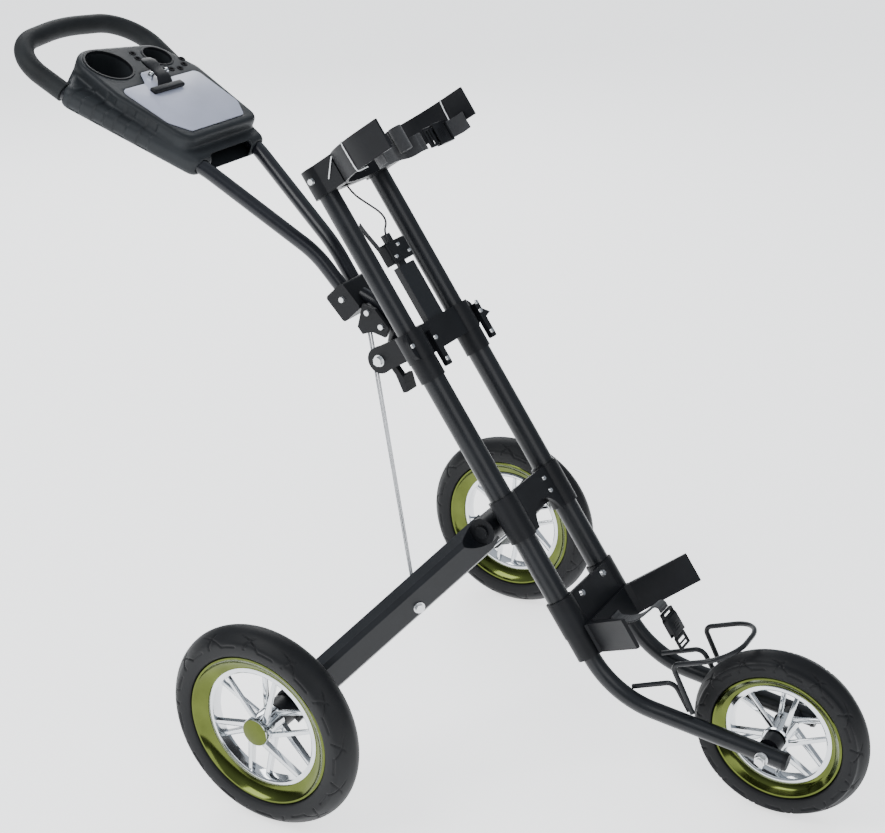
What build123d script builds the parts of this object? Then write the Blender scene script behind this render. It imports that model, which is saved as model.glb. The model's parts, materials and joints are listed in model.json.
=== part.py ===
from build123d import *
import os
from math import cos, radians, sin

os.makedirs("parts", exist_ok=True)

# Golf push trolley, unfolded and standing on its three wheels.
# +X is the direction of travel, +Y is the trolley's left, +Z is up, millimetres.
# The origin is on the ground, below the middle of the whole trolley.

# ---- driving dimensions -------------------------------------------------------
rear_axle_x = -69.16
wheelbase = 588
track = 690
rear_wheel_radius = 145
front_wheel_radius = 120.5
frame_angle = 56.4
frame_foot = 470
tube_pitch = 122
lower_tube_radius = 16
upper_tube_radius = 14
fork_tube_radius = 12
tube_wall = 1.8
running_fit = 0.05
clear = 0.5

# stations up the frame tubes, measured from where their axes meet the ground
fork_joint_low, fork_joint_top = 238, 273
cradle_low, cradle_top = 273, 326
axle_bracket_low, axle_bracket_top = 421, 484
mid_sleeve_low = 667
mid_bracket_low, mid_bracket_top = 697, 738
latch_post_top = 820
bag_yoke_low, bag_yoke_top = 948, 989

# pivots: station up the tubes, distance ahead of the plane of the tubes
handle_pivot = (723, -86)
arm_pivot = (455, -41)

# handle: the tray's origin is where the handle tubes leave it
tray_angle = 27
tray_x, tray_z = rear_axle_x - 260, 802
tray_length = 217
handle_tube_radius = 10.5
foam_radius = 14

# rear arms, from the arm pivot out to the rear axles
arm_root_y = 62
arm_tip_y = 300
arm_height, arm_width = 44, 34
arm_lowered, arm_forward = 2.5, 1.5

half_pitch = tube_pitch / 2
frame_slope = radians(frame_angle)
tray_slope = radians(tray_angle)
rear_axle_z = rear_wheel_radius
front_axle_x = rear_axle_x + wheelbase
front_axle_z = front_wheel_radius
SIDES = (("right", -1), ("left", 1))


def along(station, ahead, left):
    """A point given in the frame's own directions."""
    x = rear_axle_x + frame_foot - station * cos(frame_slope) + ahead * sin(frame_slope)
    z = station * sin(frame_slope) + ahead * cos(frame_slope)
    return Vector(x, left, z)


def across(station, ahead=0, left=0):
    """A plane across the frame tubes: local x points ahead, local y to the left."""
    ahead_dir = (sin(frame_slope), 0, cos(frame_slope))
    up_dir = (-cos(frame_slope), 0, sin(frame_slope))
    return Plane(origin=along(station, ahead, left), x_dir=ahead_dir, z_dir=up_dir)


def facing(station, ahead, left=0):
    """A plane parallel to the frame's front: local x to the left, local y up the tubes."""
    ahead_dir = (sin(frame_slope), 0, cos(frame_slope))
    return Plane(origin=along(station, ahead, left), x_dir=(0, 1, 0), z_dir=ahead_dir)


def sideways(station, ahead, left):
    """A plane whose normal is +Y: local x points ahead, local y down the tubes."""
    ahead_dir = (sin(frame_slope), 0, cos(frame_slope))
    return Plane(origin=along(station, ahead, left), x_dir=ahead_dir, z_dir=(0, 1, 0))


def tray_plane(height):
    """A plane parallel to the handle tray: local x points forward, local y to the left."""
    origin = (tray_x + height * sin(tray_slope), 0, tray_z + height * cos(tray_slope))
    forward = (cos(tray_slope), 0, -sin(tray_slope))
    return Plane(origin=origin, x_dir=forward, z_dir=(sin(tray_slope), 0, cos(tray_slope)))


def tray_point(rearward, left, height):
    return tray_plane(height).from_local_coords((-rearward, left, 0))


def finish(builder, label):
    builder.part.label = label
    export_step(builder.part, f"parts/{label}.step")


def bolt_heads(planes, radius, height, label):
    """Identical domed heads, one solid on each plane."""
    with BuildPart() as heads:
        for plane in planes:
            with BuildSketch(plane):
                Circle(radius)
            extrude(amount=height, taper=20)
    finish(heads, label)


# ---- frame tubes --------------------------------------------------------------
def tube_pair(low, top, radius, label):
    """The right and left tube between two stations, as two solids."""
    with BuildPart() as tubes:
        for side, sign in SIDES:
            with BuildSketch(across(low, 0, sign * half_pitch)):
                Circle(radius)
                Circle(radius - tube_wall, mode=Mode.SUBTRACT)
            extrude(amount=top - low)
    finish(tubes, label)


tube_pair(fork_joint_low + 12, mid_bracket_low + 4, lower_tube_radius, "lower_tubes")
tube_pair(mid_bracket_low + 6, bag_yoke_top - 4, upper_tube_radius, "upper_tubes")

# ---- front fork ---------------------------------------------------------------
fork_start = 244
fork_bend_radius = 128
fork_end_x, fork_end_z = front_axle_x + 26, front_axle_z - 3
fork_end_y = 57
fork_corner_x, fork_corner_z = rear_axle_x + 373, 146
nut_plane_y = fork_end_y + fork_tube_radius + 0.5
axle_radius = 5

with BuildPart() as fork_tubes:
    for side, sign in SIDES:
        with BuildLine() as fork_path:
            FilletPolyline(
                along(fork_start, 0, sign * half_pitch),
                (fork_corner_x, sign * (half_pitch - 1), fork_corner_z),
                (fork_end_x, sign * fork_end_y, fork_end_z),
                radius=fork_bend_radius,
            )
        with BuildSketch(fork_path.line ^ 0):
            Circle(fork_tube_radius)
            Circle(fork_tube_radius - tube_wall, mode=Mode.SUBTRACT)
        sweep()
    with BuildSketch(Plane(origin=(front_axle_x, -track / 2, front_axle_z), z_dir=(0, 1, 0))):
        Circle(axle_radius + running_fit)
    extrude(amount=track, mode=Mode.SUBTRACT)
finish(fork_tubes, "fork_tubes")

with BuildPart() as fork_plugs:
    for side, sign in SIDES:
        run_x = fork_end_x - fork_corner_x
        run_y = sign * (fork_end_y - half_pitch + 1)
        run_z = fork_end_z - fork_corner_z
        with BuildSketch(Plane(origin=(fork_end_x, sign * fork_end_y, fork_end_z), z_dir=(run_x, run_y, run_z))):
            Circle(fork_tube_radius + 0.8)
        extrude(amount=5, taper=15)
finish(fork_plugs, "fork_end_plugs")

with BuildPart() as fork_sleeves:
    for side, sign in SIDES:
        y = sign * half_pitch
        with BuildSketch(across(fork_joint_low, 0, y)):
            Circle(lower_tube_radius + 2.5)
        extrude(amount=fork_joint_top - fork_joint_low)
    for side, sign in SIDES:
        y = sign * half_pitch
        with BuildSketch(across(fork_joint_low + 12, 0, y)):
            Circle(lower_tube_radius)
        extrude(amount=60, mode=Mode.SUBTRACT)
        with BuildSketch(across(fork_joint_low - 5, 0, y)):
            Circle(fork_tube_radius + 0.4)
        extrude(amount=40, mode=Mode.SUBTRACT)
finish(fork_sleeves, "fork_sleeves")

# ---- front axle ---------------------------------------------------------------
with BuildPart() as front_axle:
    with BuildSketch(Plane(origin=(front_axle_x, -nut_plane_y - 11, front_axle_z), z_dir=(0, 1, 0))):
        Circle(axle_radius)
    extrude(amount=2 * (nut_plane_y + 11))
finish(front_axle, "front_axle")

with BuildPart() as axle_nuts:
    for side, sign in SIDES:
        with BuildSketch(Plane(origin=(front_axle_x, sign * nut_plane_y, front_axle_z), z_dir=(0, sign, 0))):
            Circle(9)
            Circle(axle_radius, mode=Mode.SUBTRACT)
        extrude(amount=1.6)
        with BuildSketch(Plane(origin=(front_axle_x, sign * (nut_plane_y + 1.6), front_axle_z), z_dir=(0, sign, 0))):
            RegularPolygon(8, 6)
            Circle(axle_radius, mode=Mode.SUBTRACT)
        extrude(amount=7)
finish(axle_nuts, "front_axle_nuts")

spacer_inner, spacer_outer = 24, fork_end_y - fork_tube_radius
with BuildPart() as front_spacers:
    for side, sign in SIDES:
        with BuildSketch(Plane(origin=(front_axle_x, sign * spacer_inner, front_axle_z), z_dir=(0, sign, 0))):
            Circle(14)
            Circle(axle_radius, mode=Mode.SUBTRACT)
        extrude(amount=spacer_outer - spacer_inner)
finish(front_spacers, "front_axle_spacers")

# ---- wheels: tyre and spoked wheel, turned about the axle ----------------------
spoke_count = 12


def wheel_plane(x, y, z):
    """A plane holding the axle: local x points forward, local y along the axle."""
    return Plane(origin=(x, y, z), x_dir=(1, 0, 0), z_dir=(0, 0, 1))


def build_tyre(x, y, z, outer, bead, width, label):
    half = width / 2
    seat, lip = half - 10.3, half - 8.2
    with BuildPart() as tyre:
        with BuildSketch(wheel_plane(x, y, z)):
            with BuildLine():
                Polyline((bead - 3, seat), (bead + 1.2, lip), (bead + 1.2, half - 2), (bead + 8, half))
                ThreePointArc((bead + 8, half), (bead + 20, half + 1.2), (outer - 10, half - 5))
                ThreePointArc((outer - 10, half - 5), (outer, 0), (outer - 10, 5 - half))
                ThreePointArc((outer - 10, 5 - half), (bead + 20, -half - 1.2), (bead + 8, -half))
                Polyline((bead + 8, -half), (bead + 1.2, 2 - half), (bead + 1.2, -lip), (bead - 3, -seat))
                Line((bead - 3, -seat), (bead - 3, seat))
            make_face()
        revolve(axis=Axis((x, y, z), (0, 1, 0)))
    finish(tyre, label)


def build_wheel(x, y, z, rim, width, hub_radius, hub_width, bore, label):
    """A one-piece wheel: channel rim, step ring, hub and spokes laced to both hub ends."""
    half = width / 2
    hub_half = hub_width / 2
    ring = rim * 0.74
    with BuildPart() as wheel:
        with BuildSketch(wheel_plane(x, y, z)):
            with BuildLine():
                Polyline(
                    (rim - 3.5, half - 8.5), (rim + 0.5, half - 6.5), (rim + 0.5, half - 2.5), (rim - 3, half - 2.5),
                    (ring + 7, 8), (ring + 5, 9), (ring, 9), (ring, -9), (ring + 5, -9), (ring + 7, -8),
                    (rim - 3, 2.5 - half), (rim + 0.5, 2.5 - half), (rim + 0.5, 6.5 - half), (rim - 3.5, 8.5 - half),
                    (rim - 3.5, half - 8.5),
                )
            make_face()
            with BuildLine():
                Polyline(
                    (bore, -hub_half), (hub_radius, -hub_half), (hub_radius, -hub_half + 7),
                    (hub_radius - 4, -hub_half + 11), (hub_radius - 4, hub_half - 11), (hub_radius, hub_half - 7),
                    (hub_radius, hub_half), (bore, hub_half), (bore, -hub_half),
                )
            make_face()
        revolve(axis=Axis((x, y, z), (0, 1, 0)))
        for index in range(spoke_count):
            turn = radians(360 * index / spoke_count + 15)
            hub_side = 1 if index % 2 else -1
            start = Vector(
                x + (hub_radius - 3) * cos(turn), y + hub_side * (hub_half - 4.5), z + (hub_radius - 3) * sin(turn)
            )
            end = Vector(x + (ring + 2) * cos(turn), y + hub_side * 4, z + (ring + 2) * sin(turn))
            with BuildSketch(Plane(origin=start, x_dir=(-sin(turn), 0, cos(turn)), z_dir=end - start)):
                RectangleRounded(7, 5, 2)
            extrude(amount=(end - start).length)
    finish(wheel, label)


rear_hub_half = 19
for side, sign in SIDES:
    y = sign * track / 2
    build_tyre(rear_axle_x, y, rear_axle_z, rear_wheel_radius, 108, 46, f"tyre_rear_{side}")
    build_wheel(rear_axle_x, y, rear_axle_z, 108, 44, 20, 2 * rear_hub_half, 6 + running_fit, f"wheel_rear_{side}")
    with BuildPart() as hub_cap:
        with BuildSketch(wheel_plane(rear_axle_x, y, rear_axle_z)):
            cap_start = sign * (rear_hub_half + 0.1)
            with BuildLine():
                Polyline(
                    (0, cap_start), (19, cap_start), (19, cap_start + sign * 3),
                    (15, cap_start + sign * 6), (0, cap_start + sign * 6), (0, cap_start),
                )
            make_face()
        revolve(axis=Axis((rear_axle_x, y, rear_axle_z), (0, 1, 0)))
    finish(hub_cap, f"hub_cap_{side}")

build_tyre(front_axle_x, 0, front_axle_z, front_wheel_radius, 89, 44, "tyre_front")
build_wheel(front_axle_x, 0, front_axle_z, 89, 42, 18, 46, axle_radius + running_fit, "wheel_front")

# ---- axle bracket: two sleeves, a front web and the rear pivot block -----------
sleeve_radius = lower_tube_radius + 3.5
pivot_pin_radius = 5
pivot_block_half = 38
with BuildPart() as axle_bracket:
    with BuildSketch(across(axle_bracket_low)):
        for side, sign in SIDES:
            with Locations((0, sign * half_pitch)):
                Circle(sleeve_radius)
        with Locations((9, 0)):
            Rectangle(5, tube_pitch)
    extrude(amount=axle_bracket_top - axle_bracket_low)
    with BuildSketch(across(arm_pivot[0] - 16)):
        with Locations((-22, 0)):
            Rectangle(66, 2 * pivot_block_half)
    extrude(amount=32)
    for side, sign in SIDES:
        with BuildSketch(across(axle_bracket_low - 5, 0, sign * half_pitch)):
            Circle(lower_tube_radius)
        extrude(amount=80, mode=Mode.SUBTRACT)
    with BuildSketch(sideways(arm_pivot[0], arm_pivot[1], -90)):
        Circle(pivot_pin_radius + running_fit)
    extrude(amount=180, mode=Mode.SUBTRACT)
    with BuildSketch(facing(axle_bracket_low, 5)):
        with Locations((0, -6)):
            Circle(34)
    extrude(amount=20, mode=Mode.SUBTRACT)
finish(axle_bracket, "axle_bracket")

web_front = 11.5
rivet_planes = [facing(axle_bracket_top - 14, web_front, 30), facing(axle_bracket_low + 30, web_front, 30)]

pin_half = arm_root_y + 20
with BuildPart() as arm_pin:
    with BuildSketch(sideways(arm_pivot[0], arm_pivot[1], -pin_half)):
        Circle(pivot_pin_radius)
    extrude(amount=2 * pin_half)
    for side, sign in SIDES:
        with BuildSketch(sideways(arm_pivot[0], arm_pivot[1], sign * pin_half)):
            Circle(9)
        extrude(amount=sign * 3)
finish(arm_pin, "arm_pivot_pin")

# ---- rear undercarriage: knuckles, box arms, axle stubs, cross stay -------------
knuckle_radius = 19
knuckle_inner, knuckle_outer = pivot_block_half + clear, pin_half - clear
arm_top = along(arm_pivot[0], arm_pivot[1], 0)
axle_collar_radius = 20
collar_inner = arm_tip_y - 30
collar_outer = track / 2 - rear_hub_half - clear

with BuildPart() as knuckles:
    for side, sign in SIDES:
        with BuildSketch(sideways(arm_pivot[0], arm_pivot[1], sign * knuckle_inner)):
            Circle(knuckle_radius)
            Circle(pivot_pin_radius + running_fit, mode=Mode.SUBTRACT)
        extrude(amount=sign * (knuckle_outer - knuckle_inner))
finish(knuckles, "arm_knuckles")

# room that each folded arm leaves around the sleeves and tubes it swings up to
fold_axis = Axis(arm_top, (0, -1, 0))
arm_fold_turns = (46, 51, 56, 61, 66, 71.9)
with BuildPart() as tube_room:
    with BuildSketch(across(axle_bracket_low - 4)):
        with Locations((0, -half_pitch), (0, half_pitch)):
            Circle(sleeve_radius + 1)
    extrude(amount=axle_bracket_top - axle_bracket_low + 8)
    with BuildSketch(across(axle_bracket_low - 150)):
        with Locations((0, -half_pitch), (0, half_pitch)):
            Circle(lower_tube_radius + 1)
    extrude(amount=500)

rear_arms = {}
for side, sign in SIDES:
    root = Vector(arm_top.X, sign * arm_root_y, arm_top.Z)
    tip = Vector(rear_axle_x, sign * arm_tip_y, rear_axle_z)
    run = tip - root
    with BuildPart() as rear_arm:
        with BuildSketch(Plane(origin=root, x_dir=Vector(0, 0, 1).cross(run), z_dir=run)):
            with Locations((-sign * arm_forward, -arm_lowered)):
                Rectangle(arm_width, arm_height)
            chamfer(vertices(), 6)
        extrude(amount=run.length)
        with BuildSketch(sideways(arm_pivot[0], arm_pivot[1], sign * 20)):
            Circle(knuckle_radius)
        extrude(amount=sign * 100, mode=Mode.SUBTRACT)
        with BuildSketch(Plane(origin=(rear_axle_x, sign * collar_inner, rear_axle_z), z_dir=(0, sign, 0))):
            Circle(axle_collar_radius)
        extrude(amount=60, mode=Mode.SUBTRACT)
        split(bisect_by=Plane(origin=(0, sign * (arm_tip_y - 2), 0), z_dir=(0, -sign, 0)))
        for turn in arm_fold_turns:
            add(tube_room.part.rotate(fold_axis, -turn), mode=Mode.SUBTRACT)
    finish(rear_arm, f"rear_arm_{side}")
    rear_arms[side] = rear_arm.part

with BuildPart() as axle_stubs:
    for side, sign in SIDES:
        stub_plane = Plane(origin=(rear_axle_x, sign * collar_inner, rear_axle_z), z_dir=(0, sign, 0))
        with BuildSketch(stub_plane):
            Circle(axle_collar_radius)
        extrude(amount=collar_outer - collar_inner)
        with BuildSketch(stub_plane):
            Circle(6)
        extrude(amount=track / 2 + rear_hub_half - collar_inner)
finish(axle_stubs, "rear_axles")

stay_height = -36
stay_share = 0.36
stay_x = arm_top.X + stay_share * (rear_axle_x - arm_top.X) - 6
stay_z = arm_top.Z + stay_share * (rear_axle_z - arm_top.Z) + stay_height
stay_half = arm_root_y + stay_share * (arm_tip_y - arm_root_y) - 1.5
with BuildPart() as cross_stay:
    with BuildSketch(Plane(origin=(stay_x, -stay_half, stay_z), z_dir=(0, 1, 0))):
        Circle(2.5)
    extrude(amount=2 * stay_half)
finish(cross_stay, "cross_stay")

# clevis under the right arm that the pull rods are bolted to
rod_bolt_x, rod_bolt_y, rod_bolt_z = rear_axle_x + 124, -130, 262
with BuildPart() as rod_clevis:
    for left in (-9, 5):
        with BuildSketch(Plane(origin=(rod_bolt_x, rod_bolt_y + left, rod_bolt_z), z_dir=(0, 1, 0))):
            Circle(8)
            with BuildLine():
                Polyline((-8, 0), (8, 0), (16, -24), (-4, -24), (-8, 0))
            make_face()
        extrude(amount=4)
    with BuildSketch(Plane(origin=(rod_bolt_x, rod_bolt_y - 9, rod_bolt_z), z_dir=(0, 1, 0))):
        Circle(4)
    extrude(amount=18)
    add(rear_arms["right"], mode=Mode.SUBTRACT)
finish(rod_clevis, "rod_clevis")

# washer and hex head on the front face of the right arm
arm_bolt_share, arm_bolt_drop = 0.39, 10
right_root = Vector(arm_top.X, -arm_root_y, arm_top.Z)
right_run = Vector(rear_axle_x, -arm_tip_y, rear_axle_z) - right_root
face_out = Vector(0, 0, 1).cross(right_run).normalized()
face_up = right_run.normalized().cross(face_out)
arm_bolt_spot = right_root + right_run * arm_bolt_share + face_out * (arm_width / 2 + arm_forward + 0.05)
arm_bolt_plane = Plane(origin=arm_bolt_spot - face_up * arm_bolt_drop, z_dir=face_out)
with BuildPart() as arm_bolt:
    with BuildSketch(arm_bolt_plane):
        Circle(8)
    extrude(amount=1.6)
    with BuildSketch(arm_bolt_plane):
        RegularPolygon(6.5, 6)
    extrude(amount=6)
finish(arm_bolt, "rod_bolt")

# ---- bag-rest wire on the fork ------------------------------------------------
wire_radius = 3.5
wire_half = 56
wire_foot_x, wire_foot_z = rear_axle_x + 486, 148.8
wire_knee_x, wire_knee_z = rear_axle_x + 454, 214
wire_tip_x, wire_tip_z = rear_axle_x + 538, 247
brace_half = wire_half - 2 * wire_radius - 0.2
with BuildPart() as bag_rest:
    with BuildLine() as rest_path:
        FilletPolyline(
            (wire_foot_x, -wire_half, wire_foot_z), (wire_knee_x, -wire_half, wire_knee_z),
            (wire_tip_x, -wire_half, wire_tip_z), (wire_tip_x, wire_half, wire_tip_z),
            (wire_knee_x, wire_half, wire_knee_z), (wire_foot_x, wire_half, wire_foot_z),
            radius=[9, 46, 46, 9],
        )
    with BuildSketch(rest_path.line ^ 0):
        Circle(wire_radius)
    sweep()
finish(bag_rest, "bag_rest_loop")

with BuildPart() as rest_braces:
    for side, sign in SIDES:
        with BuildLine() as brace_path:
            FilletPolyline(
                (rear_axle_x + 396, sign * brace_half, 159.8),
                (wire_knee_x + 1, sign * brace_half, wire_knee_z - 30),
                (wire_foot_x - 8, sign * brace_half, 146.6),
                radius=14,
            )
        with BuildSketch(brace_path.line ^ 0):
            Circle(wire_radius)
        sweep()
finish(rest_braces, "bag_rest_braces")

# ---- lower cradle: clamps on both tubes, a web and two flared wings -------------
wing_low, wing_top = 238, 281
wing_tip_ahead, wing_tip_half = 108, 102
with BuildPart() as lower_cradle:
    with BuildSketch(across(cradle_low)):
        for side, sign in SIDES:
            with Locations((0, sign * half_pitch)):
                Circle(sleeve_radius)
        with Locations((14, 0)):
            Rectangle(6, tube_pitch)
    extrude(amount=cradle_top - cradle_low)
    with BuildSketch(across(wing_low)):
        for side, sign in SIDES:
            with BuildLine():
                Polyline(
                    (20, sign * 46), (30, sign * 58), (wing_tip_ahead, sign * wing_tip_half),
                    (wing_tip_ahead - 3, sign * (wing_tip_half + 4)), (24, sign * 66), (20, sign * 68), (20, sign * 46),
                )
            make_face()
        with Locations((21, 0)):
            Rectangle(6, 128)
    extrude(amount=wing_top - wing_low)
    for side, sign in SIDES:
        with BuildSketch(across(cradle_low - 40, 0, sign * half_pitch)):
            Circle(lower_tube_radius)
        extrude(amount=120, mode=Mode.SUBTRACT)
        with BuildSketch(across(cradle_low - 40, 0, sign * half_pitch)):
            Circle(lower_tube_radius + 3)
        extrude(amount=40.3, mode=Mode.SUBTRACT)
finish(lower_cradle, "lower_cradle")
cradle_bolt_planes = [facing(315, 17, -32), facing(315, 17, 32)]

# ---- mid bracket: sockets for four tubes, side flanges --------------------------
socket_radius = upper_tube_radius + 5.5
flange_half = 86
with BuildPart() as mid_bracket:
    with BuildSketch(across(mid_bracket_low)):
        for side, sign in SIDES:
            with Locations((0, sign * half_pitch)):
                Circle(socket_radius)
        with Locations((0, 0)):
            Rectangle(24, tube_pitch)
    extrude(amount=mid_bracket_top - mid_bracket_low)
    with BuildSketch(facing((mid_bracket_low + mid_bracket_top) / 2, 4.5)):
        RectangleRounded(2 * flange_half, mid_bracket_top - mid_bracket_low, 14)
    extrude(amount=7)
    for side, sign in SIDES:
        with BuildSketch(across(mid_bracket_low - 1, 0, sign * half_pitch)):
            Circle(lower_tube_radius)
        extrude(amount=5, mode=Mode.SUBTRACT)
        with BuildSketch(across(mid_bracket_low + 6, 0, sign * half_pitch)):
            Circle(upper_tube_radius)
        extrude(amount=50, mode=Mode.SUBTRACT)
finish(mid_bracket, "mid_bracket")

with BuildPart() as mid_sleeves:
    with BuildSketch(across(mid_sleeve_low)):
        for side, sign in SIDES:
            with Locations((0, sign * half_pitch)):
                Circle(lower_tube_radius + 2.2)
                Circle(lower_tube_radius, mode=Mode.SUBTRACT)
    extrude(amount=mid_bracket_low - mid_sleeve_low)
finish(mid_sleeves, "mid_sleeves")

lug_lefts = (-half_pitch + 25, half_pitch + 25)
lug_back, lug_front = 12, 19
with BuildPart() as mid_lugs:
    for left in lug_lefts:
        with BuildSketch(facing(700, lug_back, left)):
            RectangleRounded(11, 54, 3)
        extrude(amount=lug_front - lug_back)
    with BuildSketch(facing(709, lug_back, half_pitch + 25)):
        Polygon((5, 9), (22, -3), (5, -7), align=None)
    extrude(amount=5)
finish(mid_lugs, "mid_bracket_lugs")
rivet_planes.append(facing(719, 11.5, -half_pitch - 20))
rivet_planes.append(facing(727, lug_front, half_pitch + 25))
for left in lug_lefts:
    rivet_planes.append(facing(714, lug_front, left - 1))
    rivet_planes.append(facing(682, lug_front, left - 1))
bolt_heads(rivet_planes, 3.6, 2, "bracket_rivets")

# ---- pivot bracket behind the mid bracket, its bolt and torsion spring -----------
cheek_inner, cheek_outer = 27, 35
cheek_radius = 19
bracket_back = -12
with BuildPart() as pivot_bracket:
    with BuildSketch(across(702, 0, 0)):
        with Locations((bracket_back - 4, 0)):
            Rectangle(8, 2 * cheek_outer)
    extrude(amount=34)
    for side, sign in SIDES:
        with BuildSketch(sideways(handle_pivot[0], handle_pivot[1], sign * cheek_inner)):
            Circle(cheek_radius)
            with BuildLine():
                Polyline(
                    (-handle_pivot[1] + bracket_back, -13), (-handle_pivot[1] + bracket_back, 21),
                    (4, cheek_radius - 1), (4, -cheek_radius + 1), (-handle_pivot[1] + bracket_back, -13),
                )
            make_face()
        extrude(amount=sign * (cheek_outer - cheek_inner))
    with BuildSketch(sideways(handle_pivot[0], handle_pivot[1], -60)):
        Circle(5)
    extrude(amount=120, mode=Mode.SUBTRACT)
finish(pivot_bracket, "handle_pivot_bracket")

with BuildPart() as pivot_bolt:
    with BuildSketch(sideways(handle_pivot[0], handle_pivot[1], -cheek_outer)):
        Circle(5)
    extrude(amount=2 * cheek_outer)
    for side, sign in SIDES:
        with BuildSketch(sideways(handle_pivot[0], handle_pivot[1], sign * cheek_outer)):
            Circle(8.5)
        extrude(amount=sign * 1.5)
        with BuildSketch(sideways(handle_pivot[0], handle_pivot[1], sign * (cheek_outer + 1.5))):
            RegularPolygon(7, 6)
        extrude(amount=sign * 5)
finish(pivot_bolt, "handle_pivot_bolt")

spring_radius, spring_wire = 8.5, 1.1
with BuildPart() as lever_spring:
    with BuildLine() as coil:
        Helix(pitch=2.7, height=8.1, radius=spring_radius)
    with BuildSketch(Plane(origin=coil.line @ 0, z_dir=coil.line % 0)):
        Circle(spring_wire)
    sweep()
spring_place = sideways(handle_pivot[0], handle_pivot[1], 15.5).location
lever_spring.part.label = "lever_spring"
placed_spring = spring_place * lever_spring.part
placed_spring.label = "lever_spring"
export_step(placed_spring, "parts/lever_spring.step")

# ---- lock lever, hanging from the pivot bolt --------------------------------------
lever_hub_left, lever_hub_width = -25.5, 10
paddle_drop = 35
with BuildPart() as lock_lever:
    with BuildSketch(sideways(handle_pivot[0], handle_pivot[1], lever_hub_left)):
        Circle(11)
        with BuildLine():
            Polyline((2, 5), (10, 3), (14, paddle_drop), (7, paddle_drop + 22), (1, paddle_drop + 20), (5, 28), (2, 5))
        make_face()
        Circle(5 + running_fit, mode=Mode.SUBTRACT)
    extrude(amount=lever_hub_width)
    with BuildSketch(sideways(handle_pivot[0], handle_pivot[1], lever_hub_left)):
        Polygon((8, paddle_drop - 2), (14, paddle_drop), (7, paddle_drop + 22), (1, paddle_drop + 20), align=None)
    extrude(amount=26)
finish(lock_lever, "lock_lever")

# ---- latch post and its sliding catch ----------------------------------------------
post_half = 19
catch_low, catch_top = 826, 856
guide_ahead, guide_thick, guide_width = 2.6, 5, 16
cord_hole = (9, -9)
with BuildPart() as latch_post:
    with BuildSketch(across(mid_bracket_top)):
        with Locations((5, 0)):
            Rectangle(10, 2 * post_half)
        with Locations((1.5, 0)):
            Rectangle(7, 2 * post_half - 5, mode=Mode.SUBTRACT)
    extrude(amount=latch_post_top - mid_bracket_top)
    with BuildSketch(across(mid_bracket_top)):
        with Locations((guide_ahead, 0)):
            Rectangle(guide_thick, guide_width)
    extrude(amount=catch_top + 12 - mid_bracket_top)
finish(latch_post, "latch_post")

with BuildPart() as latch_catch:
    with BuildSketch(across(catch_low)):
        with Locations((4, 0)):
            RectangleRounded(19, 48, 4)
    extrude(amount=catch_top - catch_low)
    chamfer(latch_catch.faces().sort_by(Axis(along(0, 0, 0), across(0).z_dir))[-1].edges(), 2)
    with BuildSketch(across(catch_low - 1)):
        with Locations((guide_ahead, 0)):
            Rectangle(guide_thick + 2 * clear, guide_width + 2 * clear)
    extrude(amount=60, mode=Mode.SUBTRACT)
    with BuildSketch(across(catch_top - 12)):
        with Locations(cord_hole):
            Circle(3)
    extrude(amount=20, mode=Mode.SUBTRACT)
finish(latch_catch, "latch_catch")
catch_front = 13.5
bolt_heads(
    [facing(catch_low + 8, catch_front, -16), facing(catch_low + 8, catch_front, 16), facing(catch_top - 8, catch_front, 0)],
    3, 2, "latch_catch_bolts",
)

# ---- upper bag yoke ------------------------------------------------------------------
yoke_centre, yoke_inner, yoke_wall = 122, 103, 4.5
yoke_reach = 156
with BuildPart() as bag_yoke:
    with BuildSketch(across(bag_yoke_low)):
        with Locations((yoke_centre, 0)):
            Circle(yoke_inner + yoke_wall)
        with Locations((yoke_centre + 60, 0)):
            Rectangle(120, 300, mode=Mode.SUBTRACT)
        for side, sign in SIDES:
            with Locations(((yoke_centre + yoke_reach) / 2, sign * (yoke_inner + yoke_wall / 2))):
                Rectangle(yoke_reach - yoke_centre + 0.01, yoke_wall)
            with Locations((0, sign * half_pitch)):
                Circle(19)
            with Locations((22, sign * (half_pitch + 4))):
                Rectangle(44, 22)
        with Locations((6, 0)):
            Rectangle(14, tube_pitch)
        with Locations((yoke_centre, 0)):
            Circle(yoke_inner, mode=Mode.SUBTRACT)
    extrude(amount=bag_yoke_top - bag_yoke_low)
    with BuildSketch(across(bag_yoke_low - 1)):
        for side, sign in SIDES:
            with Locations((0, sign * half_pitch)):
                Circle(upper_tube_radius)
    extrude(amount=bag_yoke_top - bag_yoke_low - 3, mode=Mode.SUBTRACT)
finish(bag_yoke, "bag_yoke")
for side, sign in SIDES:
    cradle_bolt_planes.append(Plane(origin=along(972, 0, sign * (half_pitch + 19)), z_dir=(0, sign, 0)))
bolt_heads(cradle_bolt_planes, 5.2, 3.5, "cradle_bolts")

# ---- bag straps with side-release buckles ----------------------------------------------
webbing = 1.6
buckle_thick = 9
buckle_width = 30
body_length, body_centre, tongue_centre = 36, 14, -14.5


def buckle_place(station, ahead, left, hanging):
    """A buckle's plane: its tongue points along -x, to the right or down the tubes."""
    up_dir = (-cos(frame_slope), 0, sin(frame_slope))
    ahead_dir = (sin(frame_slope), 0, cos(frame_slope))
    return Plane(origin=along(station, ahead, left), x_dir=up_dir if hanging else (0, 1, 0), z_dir=ahead_dir)


buckle_places = {
    "upper_buckle_tongue": buckle_place(947, 118, 48, False),
    "lower_buckle_tongue": buckle_place(212, 96, 0, True),
}
with BuildPart() as buckle_bodies:
    for place in buckle_places.values():
        with BuildSketch(place):
            with Locations((body_centre, 0)):
                RectangleRounded(body_length, buckle_width, 5)
        extrude(amount=buckle_thick)
        with BuildSketch(place.offset(2)):
            with Locations((body_centre - 9, 0)):
                Rectangle(20, buckle_width - 10)
        extrude(amount=buckle_thick - 4, mode=Mode.SUBTRACT)
finish(buckle_bodies, "buckle_bodies")

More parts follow.
